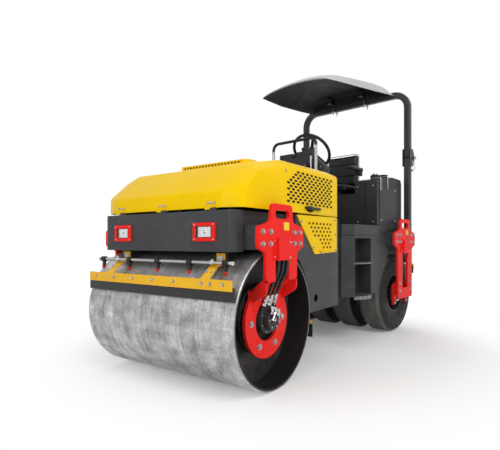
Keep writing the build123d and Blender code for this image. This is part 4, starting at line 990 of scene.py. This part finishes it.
def make_console_trim():
    dark, bright = meshes(2)
    add_stack(dark, (-1.39, 0.045, 1.765), UP, (0, 0.013, 0.018, 0.011, 20), (0.018, 0.019, 0.022, 0.016, 24))
    for y in (-0.19, -0.16, -0.13, -0.10):
        add_box(dark, (-1.4505, -1.4475), around(y, 0.010), (1.722, 1.744), 0.001)
    for y in (0.02, 0.075, 0.13):
        add_round(bright, (-1.448, y, 1.735), BACK, 0.018, 0.004, 0.016, 28)
        add_round(dark, (-1.452, y, 1.735), BACK, 0.015, 0.001, 0.014, 28)
    for y, z in ((0.275, 1.52), (0.275, 1.59), (-0.195, 1.52), (-0.195, 1.70)):
        add_screw(bright, (-1.332, y, z), FORWARD, 0.012)
        add_screw(bright, (-1.460, y, z), BACK, 0.012)
    for y in (-0.135, 0.135):
        for z in (1.10, 1.35, 1.61):
            add_screw(bright, (-1.285, y, z), FORWARD, 0.012)
    piece("console_switches", dark, "rear_frame", "black_plastic")
    piece("console_screws", bright, "rear_frame", "bolt_steel")
    tube("handrail_strut", [(-1.318, 0.179, 1.06), (-1.318, 0.179, 1.70)], 0.010, "bare_steel")


def make_wheel_trim():
    for side, label in SIDES:
        nuts = bmesh.new()
        for x, z in ring(AXLE_X, AXLE_Z, 0.118, 8):
            side_bolt(nuts, side, x, 0.452, z, 0.022)
        piece(f"{label}_wheel_nuts", nuts, f"{label}_rear_wheels", "bolt_steel")


STEERING_CENTRE = Vector((-1.599, 0, 1.810))
STEERING_TILT = math.radians(43.4)


def make_steering_trim():
    axis = Vector((-math.cos(STEERING_TILT), 0, math.sin(STEERING_TILT)))
    bm = bmesh.new()
    add_stack(bm, STEERING_CENTRE, axis, (0.019, 0.036, 0.010, 0.030, 40), (0.029, 0.030, 0.005, 0.020, 40))
    piece("steering_wheel_cap", bm, "steering_wheel", "black_plastic")


CLAMP_YS = (-0.230, 0.160)
CLAMP_BOLT_OUT = 0.041


def make_canopy_trim():
    nuts = bmesh.new()
    for y in CLAMP_YS:
        for x in around(HOOP_X, CLAMP_BOLT_OUT):
            add_bolt(nuts, (x, y, 2.4337), (0, 0, -1), 0.015, 1.3)
            add_bolt(nuts, (x, y, 2.5113), UP, 0.015, 1.3)
    piece("canopy_clamp_nuts", nuts, "roll_bar", "bolt_steel")


# --- forms that stand in for plainer solids ---
def combined(base, other, operation):
    """Join or cut one closed mesh with another and give the result."""
    objects = []
    for bm in (base, other):
        bmesh.ops.recalc_face_normals(bm, faces=bm.faces)
        objects.append(link("work", mesh_of("work", bm)))
    cut = objects[0].modifiers.new("cut", "BOOLEAN")
    cut.operation = operation
    cut.solver = "EXACT"
    cut.object = objects[1]
    made = evaluated(objects[0])
    out = bmesh.new()
    out.from_mesh(made)
    used = [obj.data for obj in objects]
    for obj in objects:
        bpy.data.objects.remove(obj)
    for mesh in (*used, made):
        bpy.data.meshes.remove(mesh)
    return out


def join(target, other):
    """Put one mesh's faces into another."""
    mesh = mesh_of("work", other)
    target.from_mesh(mesh)
    bpy.data.meshes.remove(mesh)


def slot_cutter(side, y, rows, first_x, pitch, size):
    """Octagonal prisms in staggered rows of (how many, height)."""
    long, high = size[0] / 2, size[1] / 2
    cut = size[1] / 3
    shape = (
        (long, high - cut), (long - cut, high), (cut - long, high), (-long, high - cut),
        (-long, cut - high), (cut - long, -high), (long - cut, -high), (long, cut - high),
    )
    bm = bmesh.new()
    for n, (count, z) in enumerate(rows):
        for k in range(count):
            x = first_x + (n % 2) * pitch / 2 + k * pitch
            side_plate(bm, side, [(x + a, z + b) for a, b in shape], y)
    return bm


# Outlines seen from the side: along the machine, height.
GRILLE = ((-0.160, 1.163), (-0.160, 1.306), (-0.290, 1.393), (-0.898, 1.393), (-0.898, 1.163))
# Black sheet behind the upper grille's slots: painted shade for the hood's shaded inside.
GRILLE_SHADE_SHEET = ((-0.168, 1.164), (-0.168, 1.302), (-0.294, 1.390), (-0.892, 1.390), (-0.892, 1.164))
GRILLE_COUNTS = (9, 9, 10, 10, 11, 10, 11, 10, 11, 10, 11)
GRILLE_ROWS = [(count, 1.379 - 0.0203 * n) for n, count in enumerate(GRILLE_COUNTS)]
PANEL = ((-0.284, 1.090), (-0.917, 1.098), (-0.917, 0.830), (-0.548, 0.818))
# Black sheet behind the lower panel's slots: painted shade for the chassis wall in shade.
PANEL_SHADE_SHEET = ((-0.400, 1.066), (-0.895, 1.066), (-0.895, 0.840), (-0.580, 0.840))
PANEL_ROWS = ((7, 1.039), (6, 1.010), (6, 0.982), (5, 0.953), (4, 0.924), (3, 0.896), (3, 0.867))


def make_grilles():
    upper, lower, upper_shade_sheets, lower_shade_sheets = meshes(4)
    for side, _ in SIDES:
        panel = bmesh.new()
        side_plate(panel, side, GRILLE, (0.610, 0.6125))
        cutter = slot_cutter(side, (0.600, 0.6225), GRILLE_ROWS, -0.846, 0.0644, (0.042, 0.0165))
        join(upper, combined(panel, cutter, "DIFFERENCE"))
        panel = bmesh.new()
        side_plate(panel, side, PANEL, (0.620, 0.628))
        bevel(panel, [edge for edge in panel.edges if rise(edge, 1) > 0.004], 0.012)
        cutter = slot_cutter(side, (0.610, 0.638), PANEL_ROWS, -0.806, 0.057, (0.034, 0.018))
        join(lower, combined(panel, cutter, "DIFFERENCE"))
        side_box(lower, side, (-0.840, -0.600), (0.627, 0.636), (0.838, 0.846), 0.001)
        # Black sheets just behind the slots: painted shade for what lies in shade behind them.
        side_plate(upper_shade_sheets, side, GRILLE_SHADE_SHEET, (0.6102, 0.6106))
        side_plate(lower_shade_sheets, side, PANEL_SHADE_SHEET, (0.6201, 0.6206))
    piece("hood_side_grilles", upper, "hood", "yellow_paint", "hood_grilles")
    piece("lower_side_grilles", lower, "front_frame", "yellow_paint", "lower_grille_panels")
    piece("hood_grille_shade_sheets", upper_shade_sheets, "hood", "painted_shade_and_seams")
    piece("lower_grille_shade_sheets", lower_shade_sheets, "front_frame", "painted_shade_and_seams")


def make_latches():
    grips, cup_shades = meshes(2)
    turns = [math.tau * n / 32 for n in range(32)]
    oval = [(-0.505 + 0.052 * math.cos(turn), 1.1335 + 0.016 * math.sin(turn)) for turn in turns]
    for side, _ in SIDES:
        side_box(grips, side, (-0.645, -0.425), (0.6105, 0.630), (1.137, 1.155), 0.006)
        side_box(grips, side, (-0.520, -0.460), (0.612, 0.634), (1.134, 1.158), 0.005)
        # A black oval in the latch cup: painted shade for the recess behind the grip.
        side_plate(cup_shades, side, oval, (0.6098, 0.6108))
    piece("hood_latch_grips", grips, "hood", "black_plastic", "hood_latches")
    piece("hood_latch_cup_shades", cup_shades, "hood", "painted_shade_and_seams")


# Hood: its profile along the middle and the sides' top edge.
HOOD_HALF = 0.610
HOOD_PROFILE = ((0.330, 1.200), (0.100, 1.395), (-0.200, 1.455), (-0.900, 1.465), (-0.975, 1.440))
SIDE_EDGE = ((0.148, 1.330), (-0.200, 1.412), (-0.900, 1.422))
HOOD_LOW = 1.105
HOOD_SKIN = 0.008
# What the open side shows of the inside, behind the grille.
HOOD_WINDOW = ((-0.322, 1.172), (-0.322, 1.292), (-0.416, 1.388), (-0.892, 1.388), (-0.892, 1.172))


def hood_planes():
    """Three corners of each flat face of the hood."""
    outline = ((0.330, HOOD_LOW), *HOOD_PROFILE, (-0.975, HOOD_LOW))
    planes = []
    for (x, z), (next_x, next_z) in zip(outline, outline[1:]):
        planes.append(((x, 0, z), (next_x, 0, next_z), (x, 0.1, z)))
    for side, _ in SIDES:
        out = side * HOOD_HALF
        ahead, middle_edge, behind = [(x, out, z) for x, z in SIDE_EDGE]
        nose_low, nose_high = (0.330, side * 0.480, HOOD_LOW), (0.330, side * 0.480, 1.200)
        corner_low, corner_high = (0.280, out, HOOD_LOW), (0.280, out, 1.215)
        bevel_top = (-0.200, side * 0.540, 1.455)
        planes += [
            (corner_low, middle_edge, behind),
            (nose_low, corner_low, nose_high),
            (nose_high, corner_high, (0.100, side * 0.500, 1.395)),
            (middle_edge, behind, bevel_top),
            (middle_edge, ahead, bevel_top),
        ]
    return planes


def hood_body(inset, low):
    """A block cut down to the hood's faces, each moved in by the inset."""
    bm = bmesh.new()
    add_box(bm, (-1.1, 0.45), (-0.7, 0.7), (low, 1.6))
    inside = Vector((-0.4, 0, 1.2))
    for corners in hood_planes():
        a, b, c = (Vector(p) for p in corners)
        normal = (b - a).cross(c - a).normalized()
        if normal.dot(a - inside) < 0:
            normal = -normal
        geom = bm.verts[:] + bm.edges[:] + bm.faces[:]
        at = a - normal * inset
        cut = bmesh.ops.bisect_plane(bm, geom=geom, plane_co=at, plane_no=normal, clear_outer=True)
        edges = [e for e in cut["geom_cut"] if isinstance(e, bmesh.types.BMEdge)]
        if edges:
            bmesh.ops.contextual_create(bm, geom=edges)
    bmesh.ops.remove_doubles(bm, verts=bm.verts, dist=0.0005)
    return bm


def make_hood():
    outer = hood_body(0, HOOD_LOW)
    above = HOOD_LOW + 0.001
    edges = [e for e in folds(outer, math.radians(3)) if max(v.co.z for v in e.verts) > above]
    bevel(outer, edges, 0.017, 4, clamp=True)
    scoop = bmesh.new()
    add_box(scoop, (-0.760, -0.130), (-0.330, 0.330), (1.440, 1.478))
    bevel(scoop, [e for e in scoop.edges if rise(e, 2) > 0.01], 0.040, 1)
    bevel(scoop, [e for e in scoop.edges if min(v.co.z for v in e.verts) > 1.47], 0.006)
    shell = combined(outer, scoop, "UNION")
    shell = combined(shell, hood_body(HOOD_SKIN, HOOD_LOW - 0.001), "DIFFERENCE")
    window = bmesh.new()
    add_plate(window, HOOD_WINDOW, (-0.7, 0.7), "y")
    piece("hood_cover", combined(shell, window, "DIFFERENCE"), "hood", "yellow_paint", "hood_shell", 20)
    # Black boxes on the scoop's skin: painted shade in place of open slots.
    slots = bmesh.new()
    for n in range(18):
        add_box(slots, around(-0.130, 0.0005), around((n - 8.5) * 0.030, 0.008), (1.4545, 1.4655))
    for n in range(15):
        for side, _ in SIDES:
            side_box(slots, side, around(-0.70 + n * 0.035, 0.009), around(0.330, 0.0005), (1.4585, 1.4675))
    piece("scoop_slot_shades", slots, "hood", "painted_shade_and_seams")


def make_ring_brackets():
    whole = bmesh.new()
    shelf = ((0.579, 0.618), (0.666, 0.685), (0.690, 0.685), (0.690, 0.671), (0.670, 0.671), (0.579, 0.604))
    gusset = ((0.579, 0.614), (0.690, 0.681), (0.690, 0.625), (0.684, 0.607), (0.668, 0.592), (0.579, 0.541))
    for side, _ in SIDES:
        near, far = sorted((side * 0.560, side * RING_FACE))
        disc, head, hole = meshes(3)
        add_round(disc, (0, near, RING_Z), (0, 1, 0), 0.232, far - near, sides=72)
        add_box(head, (-0.177, 0.177), (near, far), (RING_Z + 0.02, 0.618))
        add_round(hole, (0, near - 0.01, RING_Z), (0, 1, 0), 0.126, 0.04, sides=64)
        join(whole, combined(combined(disc, head, "UNION"), hole, "DIFFERENCE"))
        for end in (1, -1):
            for section, inner_x in ((shelf, 0.077), (gusset, 0.163)):
                add_plate(whole, [(side * y, z) for y, z in section], (end * inner_x, end * 0.177), "x")
    piece("drum_ring_brackets", whole, "front_frame", "red_paint", "drum_brackets", 30)


ARM_SECTION = (
    (0.292, 0.840), (0.298, 0.840), (0.298, 0.778), (0.350, 0.776), (0.434, 0.706),
    (0.434, 0.652), (0.428, 0.652), (0.428, 0.703), (0.348, 0.770), (0.292, 0.772),
)


def make_scraper_arms():
    arms, tabs, bar = meshes(3)
    add_round(bar, (SPRAY_X, -SPRAY_END, SPRAY_Z), (0, 1, 0), 0.011, 2 * SPRAY_END, sides=24)
    for y in ARM_YS:
        add_plate(arms, ARM_SECTION, around(y, ARM_HALF), "y")
        add_box(tabs, (0.262, 0.292), around(y, ARM_HALF), (0.800, 0.8505), 0.002)
        add_box(bar, (0.2985, 0.372), around(y, 0.014), (0.783, 0.791), 0.001)
        add_box(bar, (0.2985, 0.303), around(y, 0.014), (0.783, 0.825), 0.001)
    piece("scraper_arm_plates", arms, "front_frame", "scraper_yellow", "scraper_arms")
    piece("scraper_arm_tabs", tabs, "front_frame", "dark_grey_paint")
    piece("water_tube", bar, "front_frame", "bare_steel", "spray_bar")


# Canopy sections: along the machine, half width, rim, shoulder in and up, crown above the rim.
CANOPY = (
    (-1.300, 0.390, 2.350, 0.120, 0.038, 0.058),
    (-1.400, 0.408, 2.357, 0.084, 0.070, 0.114),
    (-1.500, 0.424, 2.364, 0.072, 0.084, 0.134),
    (-1.700, 0.455, 2.378, 0.066, 0.094, 0.142),
    (-2.090, 0.490, 2.420, 0.084, 0.112, 0.147),
    (-2.300, 0.505, 2.446, 0.094, 0.108, 0.138),
    (-2.370, 0.510, 2.454, 0.100, 0.082, 0.104),
    (-2.400, 0.512, 2.458, 0.110, 0.026, 0.034),
)
CANOPY_LENGTHS = 36
CANOPY_ACROSS = 40
CANOPY_SKIN = 0.010


def canopy_section(x):
    """The canopy's numbers at a place, between its two nearest sections."""
    for ahead, behind in zip(CANOPY, CANOPY[1:]):
        if behind[0] - 1e-6 <= x <= ahead[0] + 1e-6:
            share = (x - ahead[0]) / (behind[0] - ahead[0])
            return [a + (b - a) * share for a, b in zip(ahead, behind)]


def between(a, b, low, high, t):
    """What a number between two stands for when they stand for two places."""
    return a * ((high - t) / (high - low)) + b * ((t - low) / (high - low))


def spline(points, steps):
    """Places from the second of four points to the third, on a centripetal curve through all four."""
    knots = [0.0]
    for a, b in zip(points, points[1:]):
        knots.append(knots[-1] + math.sqrt((b - a).length))
    for k in range(steps + 1):
        t = knots[1] + (knots[2] - knots[1]) * k / steps
        level = points
        for reach, first in ((1, 0), (2, 0), (1, 1)):
            pairs = enumerate(zip(level, level[1:]), first)
            level = [between(a, b, knots[n], knots[n + reach], t) for n, (a, b) in pairs]
        yield level[0]


def canopy_line(x, inset):
    """Points across one section, from the right rim over the crown to the left."""
    _, half, rim, shoulder_in, shoulder_up, crown = canopy_section(x)
    end, top = half - inset, rim + crown - inset
    shoulder_y, shoulder_z = end - shoulder_in, rim + shoulder_up - inset
    lead_y, lead_z = end + 0.4 * shoulder_in, rim - 1.1 * shoulder_up
    right = [(-lead_y, lead_z), (-end, rim), (-shoulder_y, shoulder_z)]
    left = [(-y, z) for y, z in reversed(right)]
    keys = [Vector(key) for key in (*right, (0.0, top), *left)]
    line = []
    for n in range(4):
        spots = list(spline(keys[n : n + 4], CANOPY_ACROSS // 4))
        line += [(spot.x, max(spot.y, rim)) for spot in (spots if n == 3 else spots[:-1])]
    return line


def canopy_under(x, y):
    """Height of the canopy's inner face over a place."""
    line = canopy_line(x, CANOPY_SKIN)
    for (y0, z0), (y1, z1) in zip(line, line[1:]):
        if y0 <= y <= y1:
            return z0 + (z1 - z0) * (y - y0) / (y1 - y0)


def make_canopy():
    bm = bmesh.new()
    outer, inner = [], []
    for n in range(CANOPY_LENGTHS + 1):
        x = CANOPY[0][0] + (CANOPY[-1][0] - CANOPY[0][0]) * n / CANOPY_LENGTHS
        for rows, inset in ((outer, 0), (inner, CANOPY_SKIN)):
            rows.append([bm.verts.new((x, y, z)) for y, z in canopy_line(x, inset)])
    across = range(len(outer[0]) - 1)
    for n in range(CANOPY_LENGTHS):
        for k in across:
            bm.faces.new((outer[n][k], outer[n][k + 1], outer[n + 1][k + 1], outer[n + 1][k]))
            bm.faces.new((inner[n][k], inner[n + 1][k], inner[n + 1][k + 1], inner[n][k + 1]))
        for k in (0, -1):
            bm.faces.new((outer[n][k], inner[n][k], inner[n + 1][k], outer[n + 1][k]))
    for n in (0, -1):
        for k in across:
            bm.faces.new((outer[n][k], outer[n][k + 1], inner[n][k + 1], inner[n][k]))
    piece("canopy_shell", bm, "roll_bar", "canopy_plastic", "canopy", 50)


def make_canopy_clamps():
    straps, bolts = meshes(2)
    for y in CLAMP_YS:
        sides, saddle = around(y, 0.020), (HOOP_TOP + 0.0003, HOOP_TOP + 0.0063)
        add_box(straps, (HOOP_X - 0.051, HOOP_X + 0.150), sides, saddle, 0.001)
        above = [(place, canopy_under(-2.320, place) - 0.0012) for place in sides]
        pad = ((sides[0], HOOP_TOP + 0.006), *above, (sides[1], HOOP_TOP + 0.006))
        add_plate(straps, pad, (HOOP_X + 0.110, HOOP_X + 0.140), "x")
        for end in (1, -1):
            add_round(bolts, (HOOP_X + end * CLAMP_BOLT_OUT, y, 2.404), UP, 0.005, 0.102, sides=16)
        add_box(bolts, around(HOOP_X, 0.051), around(y, 0.014), (2.4337, 2.4397), 0.001)
    piece("canopy_clamp_bolts", bolts, "roll_bar", "bolt_steel")
    piece("canopy_clamp_straps", straps, "roll_bar", "hoop_paint", "canopy_clamps")


def make_cowl():
    bm = bmesh.new()
    cowl = ((0.294, 1.500), (0.294, 1.600), (0.191, 1.686), (0.162, 1.714), (-0.214, 1.714), (-0.214, 1.500))
    add_plate(bm, cowl, (-1.460, -1.352), "x")
    for low, high, low_top, high_top in ((-0.214, -0.058, 1.759, 1.759), (-0.013, 0.162, 1.757, 1.781)):
        add_plate(bm, ((low, 1.713), (high, 1.713), (high, high_top), (low, low_top)), (-1.448, -1.356), "x")
    bevel(bm, list(folds(bm, 0.3)), 0.004, 2, clamp=True)
    piece("console_cowl", bm, "rear_frame", "tank_plastic")


STEP_FRONT, STEP_BACK, STEP_BOW = -1.360, -1.670, 0.055
STEP_ARCS = 16


def make_steps():
    bm = bmesh.new()
    middle_x, half_x = (STEP_FRONT + STEP_BACK) / 2, (STEP_FRONT - STEP_BACK) / 2
    radius = (half_x**2 + STEP_BOW**2) / (2 * STEP_BOW)
    arc = []
    for n in range(STEP_ARCS + 1):
        x = STEP_BACK + (STEP_FRONT - STEP_BACK) * n / STEP_ARCS
        arc.append((x, 0.600 + math.sqrt(radius**2 - (x - middle_x) ** 2) - (radius - STEP_BOW)))
    for side, _ in SIDES:
        bowed = [(x, side * y) for x, y in arc]
        plan = [*bowed, (STEP_FRONT, side * 0.470), (STEP_BACK, side * 0.470)]
        edge = [*bowed, *((x, side * (y - 0.006)) for x, y in reversed(arc))]
        for z, lip in ((0.725, 0.011), (0.434, 0.030)):
            add_plate(bm, plan, (z - 0.006, z), "z")
            add_plate(bm, edge, (z - lip, z - 0.005), "z")
    piece("bowed_steps", bm, "rear_frame", "tread_plate", "step_treads")


def make_carriers():
    bm = bmesh.new()
    arm = ((0.612, 0.325), (0.612, 0.470), (0.670, 0.535), (0.670, 0.395))
    for side, _ in SIDES:
        side_box(bm, side, around(AXLE_X, 0.162), (0.612, 0.624), (0.325, 0.470), 0.001)
        for end in (1, -1):
            add_plate(bm, [(side * y, z) for y, z in arm], (AXLE_X + end * 0.118, AXLE_X + end * 0.162), "x")
            lug = (AXLE_X + end * 0.132, AXLE_X + end * 0.148)
            side_box(bm, side, lug, (0.612, 0.642), (0.286, 0.345), 0.001)
    piece("wheel_motor_carriers", bm, "rear_frame", "red_paint", "rear_carriers")


# --- light, floor ---
WORLD_LIGHT = 0.52
# Area lights: name, place, target, size, watts.
LAMPS = (
    ("key", (1.2, 4.2, 4.2), (-0.7, 0.0, 0.8), 2.6, 115),
    ("front", (4.8, 0.2, 2.0), (-0.3, 0.0, 0.7), 2.4, 46),
    ("top", (-1.2, 0.0, 5.6), (-1.0, 0.0, 0.0), 3.0, 22),
    ("back", (-5.0, -2.5, 3.5), (-1.0, 0.0, 1.0), 2.4, 40),
)
FLOOR_HALF = 40
FLOOR_GAP = 0.0005
# How the floor goes over into the backdrop: from where to where, and its shares there.
FLOOR_FADE = (1.1, 2.15, 0.12, 1.0)


def fresh(data):
    """The emptied node tree of a world or a material."""
    data.use_nodes = True
    data.node_tree.nodes.clear()
    return Nodes(data.node_tree)


def shown_rays(nodes):
    """1 where the camera, a mirror or glass looks, 0 for the light that falls on things."""
    path = nodes.add("LightPath").outputs
    seen = nodes.calc("ADD", path["Is Camera Ray"], path["Is Glossy Ray"], clamp=True)
    return nodes.calc("ADD", seen, path["Is Transmission Ray"], clamp=True)


def make_world():
    world = bpy.context.scene.world = bpy.data.worlds.new("world")
    nodes = fresh(world)
    lit = nodes.add("Background", {"Color": WHITE, "Strength": WORLD_LIGHT})
    shown = nodes.add("Background", {"Color": WHITE, "Strength": 1.0})
    nodes.shaders("World", shown_rays(nodes), lit, shown)


def make_lamps():
    for name, place, target, size, watts in LAMPS:
        data = bpy.data.lights.new(name, "AREA")
        data.shape = "DISK"
        data.size = size
        data.energy = watts
        obj = link(name, data)
        obj.location = ZERO + Vector(place)
        aim = (ZERO + Vector(target)) - obj.location
        obj.rotation_euler = aim.to_track_quat("-Z", "Y").to_euler()


def make_floor():
    """A white floor that keeps the object's shadow near it and fades into the backdrop further out."""
    mesh = bpy.data.meshes.new("floor")
    reach = (-FLOOR_HALF, FLOOR_HALF)
    mesh.from_pydata([(x, y, DRUM_LOW.z - FLOOR_GAP) for x, y in square(reach, reach)], [], [(0, 1, 2, 3)])
    made = bpy.data.materials.new("floor_white")
    nodes = fresh(made)
    matt = nodes.add("BsdfDiffuse", {"Color": WHITE})
    glow = nodes.add("Emission", {"Color": WHITE, "Strength": 1.0})
    place = nodes.add("TexCoord").outputs["Object"]
    away = nodes.add("VectorMath", {0: place}, operation="LENGTH").outputs["Value"]
    far = nodes.span(away, *FLOOR_FADE, smooth=True)
    nodes.shaders("Material", nodes.calc("MULTIPLY", far, shown_rays(nodes)), matt, glow)
    mesh.materials.append(made)
    link("floor", mesh)


bpy.context.scene.view_settings.view_transform = "Standard"
for make in (
    make_camera, make_materials, make_hoses, make_world, make_lamps, make_floor, dress_nodes,
    make_front_bolts, make_covers, make_drum_fittings, make_lamps_trim, make_spray_trim, make_hood_trim,
    make_rear_bolts, make_fold_pins, make_tank_trim, make_console_trim, make_wheel_trim, make_steering_trim,
    make_canopy_trim, make_seat, make_grilles, make_latches, make_hood, make_ring_brackets, make_scraper_arms,
    make_canopy, make_canopy_clamps, make_cowl, make_steps, make_carriers,
):
    make()
